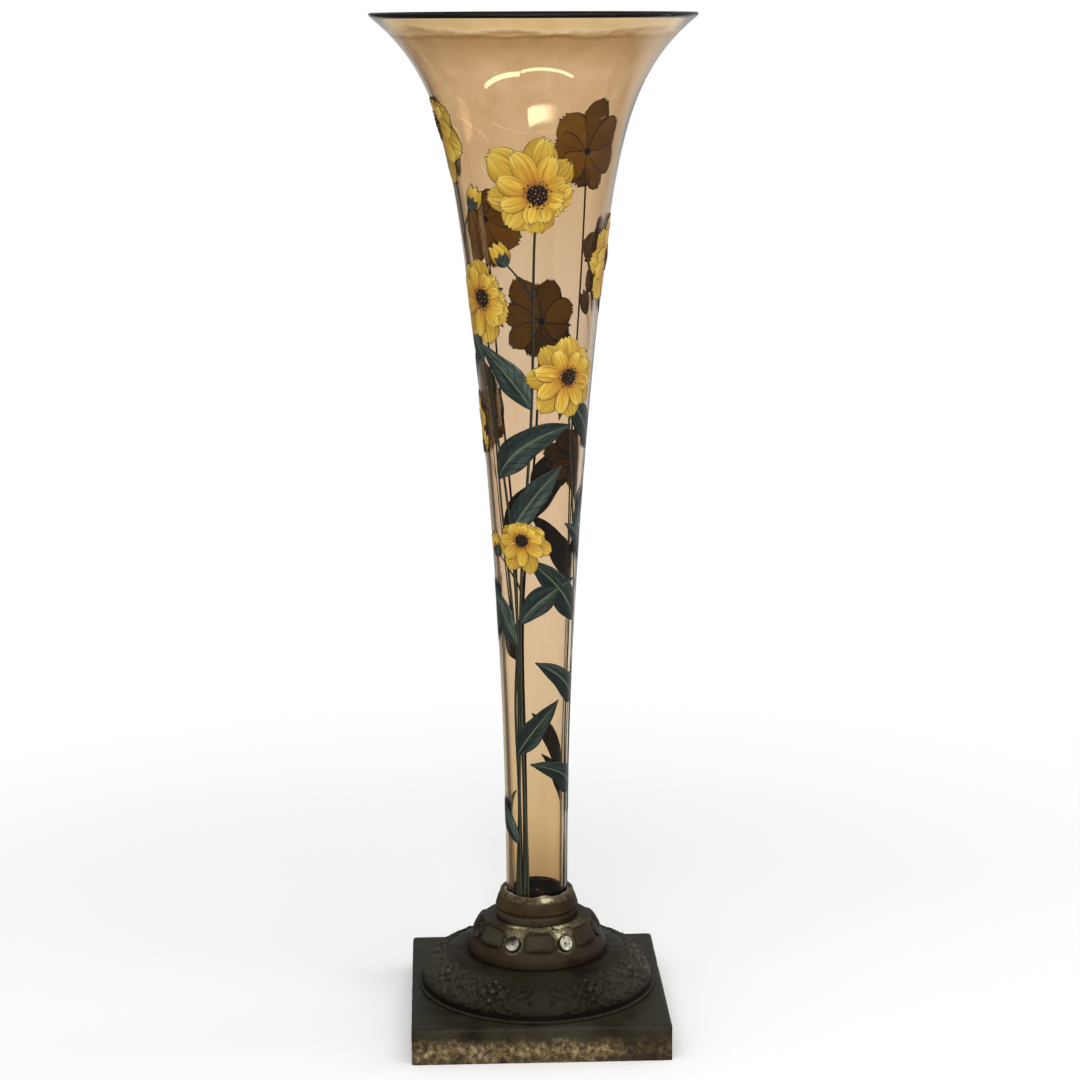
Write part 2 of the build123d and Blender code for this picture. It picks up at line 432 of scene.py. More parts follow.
amber = {
    "span": (0.08, 0.60),  # metres: the tints run from the collar to the rim, and darken towards it as painted shade
    "tintsWithShade": [
        (0.0, (0.71, 0.59, 0.42)), (0.08, (0.92, 0.815, 0.615)), (0.20, (0.905, 0.825, 0.68)),
        (0.35, (0.94, 0.85, 0.73)), (0.50, (0.915, 0.81, 0.68)), (0.65, (0.887, 0.80, 0.69)),
        (0.85, (0.85, 0.72, 0.55)), (0.935, (0.875, 0.745, 0.57)), (0.968, (0.73, 0.59, 0.40)),
        (1.0, (0.74, 0.60, 0.41)),
    ],
    "clouded": (0.86, 0.79, 0.69),  # smoky clouds in the flare
    "cloudRise": (0.500, 0.565),
    "shaded": (0.80, 0.74, 0.66),  # a dark band under the rim
    "shadeRise": ((0.5880, 0.5895), (0.5910, 0.5900)),
    "rimTint": (0.985, 0.875, 0.655),  # clearer glass above it
    "rimRise": (0.5903, 0.5911),
    "paintedHighlight": (1.0, 0.96, 0.84),  # and a painted highlight line between them
    "paintedHighlightRise": ((0.5903, 0.5910), (0.5926, 0.5914)),
    "wavy": 0.007,  # how far the band and the highlight line waver
    "corded": (0.93, 0.88, 0.82),  # faint upright cords
    "cordStretch": (60, 60, 7), "soak": (0.82, 0.50, 0.10, 1), "density": 56.0, "ior": 1.48,
}


def hornShape(share):
    share = np.clip(np.asarray(share, float), 0, 1)
    radius = np.full_like(share, horn["stem"])
    slope = np.zeros_like(share)
    for width, power in horn["flares"]:
        radius += width * share ** power
        slope += width * power * share ** (power - 1) / horn["height"]
    return radius, slope, np.sqrt(1 + slope ** 2)


def shareAt(z):
    return (np.asarray(z, float) - horn["lip"]) / horn["height"]


def onHorn(angle, z, lift):
    # a point over the outer face: lift is measured square to the glass
    radius, slope, length = hornShape(shareAt(z))
    out = radius + lift / length
    return np.stack([out * np.sin(angle), -out * np.cos(angle), z - lift * slope / length], -1)


def hornFace(inside, shares):
    radius, slope, length = hornShape(shares)
    wall = (horn["stemWall"] + (horn["lipWall"] - horn["stemWall"]) * shares) * inside
    height = horn["lip"] + horn["height"] * shares
    return np.stack([radius - wall / length, height + wall * slope / length], -1)


def lipArc(trim):
    outer, inner = hornFace(np.array([0.0, 1.0]), np.array([1.0, 1.0]))
    middle = (outer + inner) / 2
    across = (outer - inner) / 2
    ahead = np.array([-across[1], across[0]])
    turnBy = np.linspace(0, pi, horn["lipSteps"])[:, None]
    keep = 1 - trim / (horn["lipWall"] / 2)
    return middle + keep * (across * np.cos(turnBy) + ahead * np.sin(turnBy))


def makeGlassMaterial():
    a = amber
    material, tree, shader = newMaterial("amberGlass")
    place = objectPlace(tree)
    z = axisPart(place, "Z")
    low, high = a["span"]
    rise = nextNode("MapRange", {"Value": z, "From Min": low, "From Max": high}).outputs[0]
    # amber tint, with painted shade towards the rim
    tint = ramp(rise, a["tintsWithShade"])
    clouds = between(noise(place, 55, 3.0, 0.6), 0.42, 0.62)
    clouds = times(clouds, between(z, *a["cloudRise"], 0.0, 0.40))
    tint = mix(clouds, tint, a["clouded"], "MULTIPLY")
    level = plus(z, times(noise(place, 34, 3.0), a["wavy"]))
    shade, seam = (times(between(level, *start), between(level, *end))
                   for start, end in (a["shadeRise"], a["paintedHighlightRise"]))
    tint = mix(shade, tint, a["shaded"], "MULTIPLY")
    tint = mix(between(level, *a["rimRise"], 0.0, 0.75), tint, a["rimTint"])
    # painted highlight line under the clearer glass
    tint = mix(times(seam, 0.6), tint, a["paintedHighlight"])
    cords = noise(stretch(place, a["cordStretch"]), 1.0, 3.0)
    tint = mix(between(cords, 0.40, 0.70, 0.0, 0.5), tint, a["corded"], "MULTIPLY")
    fill(shader, {"Base Color": tint, "Roughness": 0.0, "IOR": a["ior"], "Transmission Weight": 1.0})
    soak = node(tree, "VolumeAbsorption", {"Color": a["soak"], "Density": a["density"]})
    feed(tree.get_output_node("ALL").inputs["Volume"], soak.outputs[0])
    return material


def makeGlass():
    h = horn
    shares = 1 - (1 - np.linspace(0, 1, h["rows"])) ** h["crowd"]
    stem, foot, lip, trim = (h[key] for key in ("stem", "foot", "lip", "rimBandThick"))
    bore, boreFloor = stem - h["stemWall"], lip - h["boreBelowLip"]
    outside = roundCorners([(0, foot, 0), (stem, foot, h["footRound"]), (stem, lip, 0)])
    inside = roundCorners([(bore, lip, 0), (bore, boreFloor, h["boreRound"]), (0, boreFloor, 0)])
    outerFace, innerFace = hornFace(0, shares), hornFace(1, shares)[::-1]
    profile = np.concatenate([outside[:-1], outerFace[:-1], lipArc(trim), innerFace[1:], inside[1:]])
    angles = evenAngles(h["around"])
    lift = np.zeros((len(angles), len(profile)))
    outRows, inRows = h["rimBandRows"]
    lipFirst = len(outside) + len(outerFace) - 2
    lift[:, lipFirst - outRows:lipFirst] = -trim * np.linspace(0, 1, outRows)
    first = lipFirst + h["lipSteps"]
    rows = profile[first:first + len(innerFace) - 1]
    spots = np.stack([np.outer(np.sin(angles), rows[:, 0]), np.outer(np.cos(angles), rows[:, 0]),
                      np.outer(np.ones(len(angles)), rows[:, 1] * h["waveLong"])], -1)
    wave = ripple(spots.reshape(-1, 3), h["waveSize"], 3).reshape(len(angles), -1)
    nearRim = lip + h["height"] * 0.99
    calm = climb(rows[:, 1], nearRim, nearRim - 60)  # no waves at the rim
    room = trim * climb(np.arange(len(rows)), inRows, 0)
    lift[:, first:first + len(rows)] = h["waviness"] * wave * calm - room
    points, faces = turn(profile, angles, lift, closed=False)
    piece = makePiece("glassHorn", points, faces, makeGlassMaterial(), weld=True)
    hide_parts("glass_trumpet")


def makeRimLine():
    material, tree, shader = newMaterial("rimLine")
    worn = noise(objectPlace(tree), 180, 5.0)
    fill(shader, {"Base Color": ramp(worn, horn["rimColours"]), "Specular IOR Level": 0.2,
                  "Roughness": between(worn, 0.3, 0.8, 0.35, 0.6)})
    spread = horn["rimBand"] / horn["height"]
    inner = hornFace(1, np.linspace(1, 1 - spread, 6))[1:]
    top = np.concatenate([lipArc(0.0)[horn["rimBandFrom"]:], inner])
    away = np.gradient(top, axis=0)
    away = np.stack([away[:, 1], -away[:, 0]], 1) / np.linalg.norm(away, axis=1)[:, None]
    under = top - away * 1.5 * horn["rimBandThick"]  # beds a little into the glass
    points, faces = turn(np.concatenate([top, under[::-1]]), evenAngles(horn["around"]))
    makePiece("rimLine", points, faces, material, weld=True)


makeGlass()
makeRimLine()
print("glass made")


# the enamel spray: generic yellow blossoms on climbing stems, set out by a spiral

spray = {
    "blooms": 11,
    "turn": 137.5,  # degrees from one bloom to the next
    "firstAngle": -20.0, "low": 300.0, "high": 536.0,
    "rise": 0.75,  # power that crowds the blooms towards the top
    "sizeLow": 22.0, "sizeHigh": 37.0,
    "petals": 8,  # in each ring
    "rings": ((1.0, 0.30, 0.0), (0.80, 0.25, 0.22)),  # reach, half width and lift
    "teeth": 0.055,  # share of the petal's length
    "heart": 0.17,  # share of the bloom's size
    "sepals": 5, "stamens": 46, "stems": (-30.0, 90.0, 210.0),
    "stemApart": 7.5,  # degrees between the stems of a group
    "stemSway": 6.0, "stemHalf": (1.1, 0.7), "stemSteps": 70, "leafLength": (42.0, 62.0),
    "leafHalf": 0.16,  # share of the leaf's length
    "budAt": 0.86,  # share of the stem
    "bud": 15.0,
    "shoot": (15, 22),  # sideways and up
    "lift": {"stems": 0.06, "leaves": 0.20, "petals": 0.38, "hearts": 0.85},  # painted in this order
    "bed": {"stems": 0.05, "leaves": 0.07, "petals": 0.09, "hearts": 0.04},  # depth into the glass
}
paintMarks = ("along", "side", "rim", "seed", "tone", "under")


def newBatch(layer):
    batch = {key: [] for key in ("points", "faces", *paintMarks)}
    return dict(batch, count=0, lift=spray["lift"][layer], bed=spray["bed"][layer])


def walk(angle, z, xs, ys):
    # follows flat drawing steps over the curved glass: returns angles and heights
    angles, heights = [angle], [z]
    for dx, dy in zip(np.diff(xs), np.diff(ys)):
        radius, _, length = hornShape(shareAt(heights[-1]))
        heights.append(float(heights[-1] + dy / length))
        angles.append(float(angles[-1] + dx / radius))
    return np.array(angles), np.array(heights)


def walkFrom(angle, z, xs, ys):  # the same, with the start itself left out
    angles, heights = walk(angle, z, np.concatenate([[0], xs]), np.concatenate([[0], ys]))
    return angles[1:], heights[1:]


def addRibbon(batch, path, half, crown, seed, tone=0.5, over=0.0, columns=7, teeth=0.0):
    # a stroke of enamel along a path on the glass, half a width to each side
    angles, heights = path
    radius, _, flat = hornShape(shareAt(heights))
    stepX = np.gradient(angles) * radius
    stepY = np.gradient(heights) * flat
    length = np.hypot(stepX, stepY) + 1e-9
    tx, ty = stepX / length, stepY / length
    share = np.linspace(0, 1, len(angles))
    v = np.linspace(-1, 1, columns)
    off = half[:, None] * v
    ahead = -teeth * (0.5 - 0.5 * np.cos(3 * pi * v)) * (share ** 5)[:, None]
    dx = -ty[:, None] * off + tx[:, None] * ahead
    dy = tx[:, None] * off + ty[:, None] * ahead
    angleGrid = angles[:, None] + dx / radius[:, None]
    heightGrid = heights[:, None] + dy / flat[:, None]
    swell = crown * (1 - v ** 2)[None, :] * np.sin(pi * np.clip(share * 0.9 + 0.08, 0, 1))[:, None] ** 0.5
    top = onHorn(angleGrid, heightGrid, batch["lift"] + over + swell)
    bottom = onHorn(angleGrid, heightGrid, np.full_like(heightGrid, over * 0.1 - batch["bed"]))
    rows, cols = top.shape[:2]
    size = rows * cols
    grid = batch["count"] + np.arange(size).reshape(rows, cols)
    upper = np.stack([grid[:-1, :-1], grid[:-1, 1:], grid[1:, 1:], grid[1:, :-1]], -1).reshape(-1, 4)
    ring = np.concatenate([grid[0, :-1], grid[:-1, -1], grid[-1, :0:-1], grid[:0:-1, 0]])
    turned = np.roll(ring, -1)
    walls = np.stack([ring, ring + size, turned + size, turned], -1)
    batch["faces"] += [upper, upper[:, [0, 3, 2, 1]] + size, walls]
    batch["points"] += [top.reshape(-1, 3), bottom.reshape(-1, 3)]
    batch["count"] += 2 * size
    total = np.cumsum(length)
    ends = np.minimum(total, total[-1] - total)[:, None]
    rim = np.minimum(half[:, None] * (1 - np.abs(v)), ends)
    fields = {"along": share[:, None] + 0 * v, "side": v + 0 * share[:, None], "rim": rim,
              "seed": np.full((rows, cols), seed), "tone": np.full((rows, cols), tone)}
    for name, field in fields.items():
        batch[name] += [field.ravel(), field.ravel()]
    batch["under"] += [np.zeros(size), np.ones(size)]


def addRound(batch, angle, z, radius, crown, seed, over=0.0, rows=9):
    ys = -radius * np.cos(np.linspace(0.12, pi - 0.12, rows))
    half = np.sqrt(np.maximum(radius ** 2 - ys ** 2, 0))
    addRibbon(batch, walkFrom(angle, z, np.zeros(rows), ys), half, crown, seed, over=over, columns=rows)


def finishBatch(name, batch, material):
    piece = makePiece(name, np.concatenate(batch["points"]), np.concatenate(batch["faces"]), material)
    addMarks(piece, **{key: np.concatenate(batch[key]) for key in paintMarks})
    faceOut(piece.data)
    piece.data.shade_smooth()


def bloomPlaces():
    count = spray["blooms"]
    for k in range(count):
        share = (k / (count - 1)) ** spray["rise"]
        z = spray["low"] + (spray["high"] - spray["low"]) * share
        angle = (spray["firstAngle"] + spray["turn"] * k + 180) % 360 - 180
        size = spray["sizeLow"] + (spray["sizeHigh"] - spray["sizeLow"]) * share
        yield k, radians(angle), z, size


def addBloom(petals, hearts, greens, k, angle, z, size):
    draw = np.random.default_rng(40 + k)
    lean = draw.uniform(0, fullTurn)  # the side that the bloom turns towards
    turned = draw.uniform(0.10, 0.30)
    start = draw.uniform(0, fullTurn)
    share = np.linspace(0, 1, 17)

    def outward(reach, way):  # flat steps from the heart, longer on the near side
        reach = reach * (1 - turned * (1 - np.cos(way - lean)))
        return walkFrom(angle, z, reach * np.cos(way), reach * np.sin(way))

    for leaf in range(spray["sepals"]):  # they peep out between the petals
        way = start + (leaf + 0.5) * fullTurn / spray["sepals"]
        path = outward(size * np.linspace(0.2, 0.92, 10), way + np.zeros(10))
        half = size * 0.09 * np.sin(pi * np.linspace(0.15, 0.98, 10))
        addRibbon(greens, path, half, 0.1, draw.uniform(), 0.4)
    for ring, (reachBy, wide, over) in enumerate(spray["rings"]):
        for index in range(spray["petals"]):
            way = start + (index + 0.5 * ring) * fullTurn / spray["petals"] + draw.uniform(-0.12, 0.12)
            long = size * reachBy * draw.uniform(0.88, 1.06)
            curl = draw.uniform(-0.16, 0.16) * share ** 2
            path = outward(long * (0.10 + 0.90 * share), way + curl)
            half = long * wide * draw.uniform(0.88, 1.1)
            half = half * (0.20 + 0.80 * np.sin(pi * share ** 0.9 * 0.64)) * (1 - 0.66 * share ** 6)
            tone = draw.uniform(0.15, 0.6) if ring == 0 else draw.uniform(0.5, 1.0)
            stacked = over + 0.025 * (index % 4)
            addRibbon(petals, path, half, 0.14, draw.uniform(), tone, stacked, 13, long * spray["teeth"])
    core = size * spray["heart"]
    addRound(hearts, angle, z, core, 0.5, draw.uniform())
    for stamen in range(spray["stamens"]):  # round the heart
        order = stamen / spray["stamens"]
        far = core * 1.4 * np.sqrt(order + 0.5 / spray["stamens"])
        way = stamen * radians(spray["turn"])
        spotAngle, spotZ = walk(angle, z, [0, far * cos(way)], [0, far * sin(way)])
        over = 0.5 * max(0.0, 1 - (far / core) ** 2)
        addRound(hearts, spotAngle[1], spotZ[1], core * 0.11, core * 0.07, 2.0 + order, over, 5)


def nearestStem(angle):
    return min(spray["stems"], key=lambda way: abs((np.degrees(angle) - way + 180) % 360 - 180))


def stemPath(k, angle, z, place):
    # climbs from the collar beside its neighbours and bends away to its bloom
    main = radians(nearestStem(angle)) + place * radians(spray["stemApart"])
    gap = (angle - main + pi) % fullTurn - pi
    t = np.linspace(0, 1, spray["stemSteps"])
    low = horn["lip"] - 3
    sway = radians(spray["stemSway"]) * np.sin(fullTurn * t * 1.3 + k) * np.sin(pi * t)
    return main + gap * t ** 1.9 * (1.6 - 0.6 * t) + sway, low + (z - low) * t


def addLeaf(greens, angle, z, side, long, draw):
    t = np.linspace(0, 1, 23)
    way = radians(90) - side * (radians(30) + radians(draw.uniform(15, 55)) * t)
    step = long / (len(t) - 1)
    xs = np.concatenate([[0], np.cumsum(np.cos(way[:-1]) * step)])
    ys = np.concatenate([[0], np.cumsum(np.sin(way[:-1]) * step)])
    wave = 1 + 0.08 * np.sin(t * 11 + draw.uniform(0, 6))
    half = long * spray["leafHalf"] * wave * np.sin(pi * np.clip(t ** 0.78, 0.02, 0.985)) ** 0.9
    addRibbon(greens, walk(angle, z, xs, ys), np.maximum(half, 0.35), 0.16, draw.uniform(), draw.uniform(),
              0.03 * draw.uniform(), 13)


def addBud(petals, greens, angle, z, lean, seed):
    size = spray["bud"]
    t = np.linspace(0, 1, 11)

    def scale(long, shift):  # one scale of the bud, up and a little to a side
        way = pi / 2 + lean + shift
        return walk(angle, z, long * t * cos(way), long * t * sin(way))

    for part, (shift, wide) in enumerate(((-0.28, 0.30), (0.28, 0.30), (0.0, 0.34))):
        half = np.maximum(size * wide * np.sin(pi * np.clip(t ** 0.8, 0.06, 0.97)), 0.3)
        addRibbon(petals, scale(size, shift), half, 0.2, seed + part * 0.1, 0.3 + 0.3 * part, 0.05 * part)
    for shift in (-0.5, 0.0, 0.5):
        half = np.maximum(size * 0.16 * np.sin(pi * np.clip(t ** 0.7, 0.1, 0.98)), 0.25)
        addRibbon(greens, scale(size * 0.55, shift), half, 0.2, seed, 0.5, 0.6, 5)


def addGrowth(petals, greens, stems, k, angle, z, place):
    # a bloom's stem with its leaves and, on every second one, a bud
    draw = np.random.default_rng(70 + k)
    angles, heights = stemPath(k, angle, z, place)
    half = np.linspace(*spray["stemHalf"], len(angles))
    addRibbon(stems, (angles, heights), half, 0.14, k / spray["blooms"], over=0.01 * k)
    last = len(angles) - 1
    for order, share in enumerate((0.16 + 0.05 * (k % 3), 0.42 + 0.04 * (k % 4), 0.72)):
        if order == 0 and k % 3:
            continue  # the foot of the vase stays nearly bare
        spot = int(share * last)
        long = np.interp(share, (0, 1), spray["leafLength"]) * draw.uniform(0.8, 1.05)
        addLeaf(greens, angles[spot], heights[spot], 1 if (order + k) % 2 else -1, long, draw)
    if k % 2 == 0:
        spot = int(spray["budAt"] * last)
        way = 1 if k % 4 else -1
        sideways, up = spray["shoot"]
        t = np.linspace(0, 1, 12)
        shoot = walk(angles[spot], heights[spot], way * sideways * t, up * t ** 0.7)
        addRibbon(stems, shoot, 0.7 - 0.2 * t, 0.12, k / 9, columns=5)
        addBud(petals, greens, shoot[0][-1], shoot[1][-1] - 1, -way * 0.5, draw.uniform())


# enamel colours

paints = {
    "outline": (0.016, 0.010, 0.004), "outlineBehind": (0.010, 0.006, 0.001),
    "outlineWide": (0.10, 0.42), "brush": (500, 500, 160),
    "petal": [(0.0, (0.15, 0.045, 0.008)), (0.20, (0.40, 0.15, 0.014)), (0.45, (0.57, 0.32, 0.026)),
              (0.80, (0.65, 0.44, 0.055)), (1.0, (0.70, 0.54, 0.12))],
    "olivePetal": [(0.0, (0.09, 0.035, 0.006)), (0.35, (0.31, 0.175, 0.013)), (1.0, (0.48, 0.33, 0.032))],
    "petalVein": (0.30, 0.125, 0.010), "petalShade": (0.33, 0.17, 0.012),
    "petalLight": (0.82, 0.68, 0.22),
    "leaf": [(0.28, (0.006, 0.011, 0.010)), (0.48, (0.035, 0.054, 0.043)), (0.64, (0.082, 0.113, 0.086)),
             (0.80, (0.17, 0.19, 0.14))],
    "darkLeaf": (0.008, 0.014, 0.011), "leafRibs": 8.0, "leafRib": (0.005, 0.009, 0.008),
    "leafShade": (0.006, 0.013, 0.012), "leafFold": (0.105, 0.125, 0.075),
    "stem": [(0.35, (0.007, 0.009, 0.006)), (0.7, (0.026, 0.029, 0.015))],
    "stemLight": (0.10, 0.105, 0.055), "heart": (0.016, 0.007, 0.007),
    "stamen": [(0.0, (0.07, 0.024, 0.010)), (0.5, (0.22, 0.085, 0.014)), (1.0, (0.50, 0.28, 0.03))],
}


def enamelMaterial(name, colour, reverse, roughness):
    # colour works out the painted side's colour, and reverse is what shows through the glass
    material, tree, shader = newMaterial(name)
    rim = mark(tree, "rim")
    painted = mix(between(rim, *paints["outlineWide"]), paints["outline"], colour(tree))
    tone = between(mark(tree, "tone"), 0.0, 0.7, 0.30, 1.0)
    shown = times(tone, between(rim, 0.1, 1.2))
    back = mix(shown, paints["outlineBehind"], reverse)
    brush = noise(stretch(objectPlace(tree), paints["brush"]), 1.0, 3.0)
    fill(shader, {"Base Color": mix(mark(tree, "under"), painted, back), "Roughness": roughness,
                  "Specular IOR Level": 0.3, "Normal": bump(brush, 0.12, 0.5)})
    return material


def strokes(tree, acrossScale, alongScale, detail=3.0):
    # fine brush lines that run along the petal or leaf
    side = times(mark(tree, "side"), acrossScale)
    along = times(mark(tree, "along"), alongScale)
    seed = times(mark(tree, "seed"), 37.0)
    vector = nextNode("CombineXYZ", {0: side, 1: along, 2: seed}).outputs[0]
    return noise(vector, 1.0, detail)


def petalColour(tree):
    along = mark(tree, "along")
    olive, yellow = (ramp(along, paints[key]) for key in ("olivePetal", "petal"))
    base = mix(between(mark(tree, "tone"), 0.15, 0.8), olive, yellow)
    veins = between(strokes(tree, 8.0, 1.1), 0.34, 0.58)
    base = mix(times(minus(1.0, veins), 0.8), base, paints["petalVein"])
    shade = between(plus(mark(tree, "side"), strokes(tree, 1.5, 2.0)), 0.75, 1.45)
    base = mix(times(shade, 0.65), base, paints["petalShade"])
    light = between(strokes(tree, 4.0, 1.6), 0.60, 0.75)
    return mix(times(light, 0.5), base, paints["petalLight"])


def leafColour(tree):
    along, side, tone = (mark(tree, key) for key in ("along", "side", "tone"))
    fold = calc("ABSOLUTE", side)
    base = ramp(strokes(tree, 2.8, 2.4, 5.0), paints["leaf"])
    base = mix(between(tone, 0.0, 0.9, 0.65, 0.0), base, paints["darkLeaf"])
    ribs = minus(times(along, paints["leafRibs"]), times(fold, 1.7))
    ribs = calc("ABSOLUTE", minus(calc("FRACT", ribs), 0.5))
    base = mix(between(ribs, 0.10, 0.02, 0.0, 0.8), base, paints["leafRib"])
    half = between(side, -0.05, 0.05)
    base = mix(times(half, 0.6), base, paints["leafShade"])
    return mix(between(fold, 0.10, 0.03, 0.0, 0.85), base, paints["leafFold"])


def stemColour(tree):
    light = between(mark(tree, "side"), 0.1, -0.7)
    base = ramp(strokes(tree, 1.0, 16.0), paints["stem"])
    return mix(times(light, 0.6), base, paints["stemLight"])


def heartColour(tree):
    seed = mark(tree, "seed")  # above 1.5 on the stamens
    stamen = ramp(calc("FRACT", times(seed, 7.3)), paints["stamen"])
    return mix(between(seed, 1.5, 1.9), paints["heart"], stamen)


def makeSpray():
    petals, hearts, greens, stems = (newBatch(layer) for layer in ("petals", "hearts", "leaves", "stems"))
    taken = {way: 0 for way in spray["stems"]}
    for k, angle, z, size in bloomPlaces():
        addBloom(petals, hearts, greens, k, angle, z, size)
        main = nearestStem(angle)
        addGrowth(petals, greens, stems, k, angle, z, taken[main] - 1.5)
        taken[main] += 1
    for name, batch, finish, colour, reverse, roughness in (
            ("enamelPetals", petals, "petalEnamel", petalColour, (0.84, 0.56, 0.006), 0.42),
            ("enamelHearts", hearts, "heartEnamel", heartColour, (0.020, 0.009, 0.004), 0.5),
            ("enamelLeaves", greens, "leafEnamel", leafColour, (0.007, 0.009, 0.005), 0.42),
            ("enamelStems", stems, "stemEnamel", stemColour, (0.007, 0.008, 0.004), 0.42)):
        finishBatch(name, batch, enamelMaterial(finish, colour, reverse, roughness))


makeSpray()
print("enamel made")


# bronze finishes

bronze = {
    "deep": (0.007, 0.0052, 0.003), "brown": (0.024, 0.0160, 0.0085),
    "grey": (0.028, 0.0235, 0.0155), "rubbed": (0.19, 0.14, 0.075), "bloom": (0.060, 0.054, 0.038),
    "dirt": (0.125, 0.107, 0.058), "dust": (0.50, 0.44, 0.26),
    "clouds": 38, "patches": 75, "lumps": 110, "flakes": (260, 620), "grain": 420,  # noise scales
}


def bronzeMaterial(name, wear, tone, extra=None):
    # marks on the mesh: edge is high where hands rub, hollow where dirt stays and where shade is painted
    # into recesses, dust where plaster dried and a pale mark where the patina has gone dry and grey, and
    # where light is painted on
    material, tree, shader = newMaterial(name)
    place = objectPlace(tree)
    cloud = noise(place, bronze["clouds"], 5.0, 0.6)
    grain = noise(place, bronze["grain"], 6.0, 0.65)
    deep, brown, grey = (tuple(np.array(bronze[key]) * tone) for key in ("deep", "brown", "grey"))
    colour = ramp(cloud, [(0.30, deep), (0.52, brown), (0.74, grey)])
    colour = mix(times(between(grain, 0.52, 0.74), 0.35), colour, grey)
    dryAndLit = times(mark(tree, "bloom"), between(grain, 0.30, 0.62, 0.4, 1.0))
    colour = mix(dryAndLit, colour, bronze["bloom"])
    colour = mix(between(mark(tree, "hollow"), 0.05, 0.6), colour, deep)
    if extra is not None:
        colour = extra(tree, place, colour)
    patchy = between(noise(place, bronze["patches"], 2.0), 0.40, 0.62, 0.25, 1.0)
    handled = between(mark(tree, "edge"), 0.10, 0.55)
    rub = times(handled, between(grain, 0.34, 0.62), patchy, wear)
    colour = mix(rub, colour, bronze["rubbed"])
    coarse, fine = (noise(place, scale, detail) for scale, detail in zip(bronze["flakes"], (5.0, 3.0)))
    flaked = times(between(coarse, 0.30, 0.52), between(fine, 0.36, 0.58, 0.55, 1.0))
    crust = times(mark(tree, "dust"), flaked)
    colour = mix(between(crust, 0.02, 0.40), colour, bronze["dirt"])
    colour = mix(between(crust, 0.40, 0.90), colour, bronze["dust"])
    metal = times(minus(1.0, crust), plus(0.1, times(rub, 0.8)))
    rough = plus(between(cloud, 0.3, 0.75, 0.48, 0.68), times(crust, 0.35))
    lumps = noise(place, bronze["lumps"], 3.0)
    fill(shader, {"Base Color": colour, "Metallic": metal, "Specular IOR Level": 0.11,
                  "Roughness": minus(rough, times(rub, 0.12)),
                  "Normal": bump(lumps, 0.5, 0.35, bump(grain, 0.25, 0.45))})
    return material


# collar

collar = {
    "seat": boxMm("bell_casting")[1][2], "low": boxMm("collar_cup")[0][2], "lip": horn["lip"],
    "floor": 4.0, "spigot": 22.0, "cup": 19.6, "hole": 7.5,
    # radius, height and easing: the bead, groove and cone from the seat up, the edge from the lip down
    "wall": ((23.7, 0.0, 0.6), (25.1, 5.2, 1.2), (24.3, 5.7, 0.5), (24.2, 6.4, 0.4), (25.0, 7.0, 0.9),
             (23.3, 12.5, 1.2)),
    "lipEdge": ((22.2, -2.4, 0.8), (21.9, -0.6, 0.8), (20.9, -0.1, 0.5)),
    "around": 220, "uneven": 0.0022,
    "tone": (1.9, 1.65, 1.14),  # on the bronze's colours: the collar is the brownest casting, and lighter too, as painted light on its upright faces
    # rise, spread and strength of the rubbed lines and of the painted shade in the groove
    "worn": ((4.6, 0.8, 0.3), (7.6, 0.7, 0.2), (16.9, 0.7, 0.4)), "groove": (6.1, 0.7, 0.35),
    "paintedShadeRight": 0.36,  # painted shade right of the front
    "lipWall": 21.6,  # outside this radius is the wall, inside it the top of the lip
    "bead": 22.8,  # and outside this one the bead
}


def makeCollar():
    c, seat, lip = collar, collar["seat"], collar["lip"]
    floor = c["low"] + c["floor"]
    corners = [(c["hole"], c["low"], 0.2), (c["spigot"], c["low"], 0.5), (c["spigot"], seat, 0.2)]
    corners += [(r, seat + up, reach) for r, up, reach in c["wall"]]
    corners += [(r, lip + up, reach) for r, up, reach in c["lipEdge"]]
    corners += [(c["cup"] + 0.2, lip - 0.2, 0.5), (c["cup"], lip - 1.4, 0.4), (c["cup"], floor, 0.5),
                (c["hole"], floor, 0.2)]
    points, faces = turn(roundCorners(corners, closed=True), evenAngles(c["around"]))
    points[:, :2] *= 1 + c["uneven"] * ripple(points, 22, 5)[:, None] * (points[:, 2] > seat)[:, None]
    piece = makePiece("collar", points, faces, bronzeMaterial("collarBronze", 0.5, c["tone"]), weld=True)
    rise = points[:, 2] - seat
    way, out = compass(points)
    wall = out >= c["lipWall"]
    bead = out > c["bead"]
    edge = sum(strength * hump(rise, at, spread) for at, spread, strength in c["worn"])
    # painted shade on the wall right of the front
    paintedShadeRight = climb(way, 12, 40) * climb(way, 150, 110) * wall
    # painted shade in the groove
    at, spread, strength = c["groove"]
    hollow = strength * hump(rise, at, spread) * (out > 23.5) + c["paintedShadeRight"] * paintedShadeRight
    dust = (0.32 + 0.7 * hump(way, 12, 13)) * (rise > 15.7) * ~wall  # most where the plaster spilled
    dust += 0.95 * hump(way, 13, 11) * climb(rise, 14.0, 15.0) * wall
    dust += 0.21 * climb(rise, 13.2, 14.2) * wall
    dust += 0.35 * hump(rise, 0.0, 0.5) * bead
    # a dry grey bloom on the bead, kept off the painted shade on the right
    bloom = climb(rise, 0.0, 1.0) * climb(rise, 5.4, 4.4) * bead * (1 - paintedShadeRight)
    addMarks(piece, edge=edge, hollow=hollow, dust=dust, bloom=bloom)
    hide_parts("collar_cup")


# plaster

plaster = {
    "inner": horn["stem"] + 0.03, "outer": collar["cup"] - 0.03, "top": horn["lip"] - 0.5,
    "low": collar["low"] + collar["floor"] + 0.05,
    "sole": 13.0,  # where the round under the glass starts
    "hole": 9.2, "around": 260,
    "heap": 1.5,  # height of the spilled heap right of the front
    "spill": 2.3,  # how far it is pushed over the lip
    "colours": [(0.3, (0.10, 0.075, 0.045)), (0.5, (0.20, 0.17, 0.11)), (0.7, (0.42, 0.38, 0.27))],
    "pits": (0.10, 0.075, 0.045),
    "deep": (0.012, 0.009, 0.006),  # below the broken edge
}


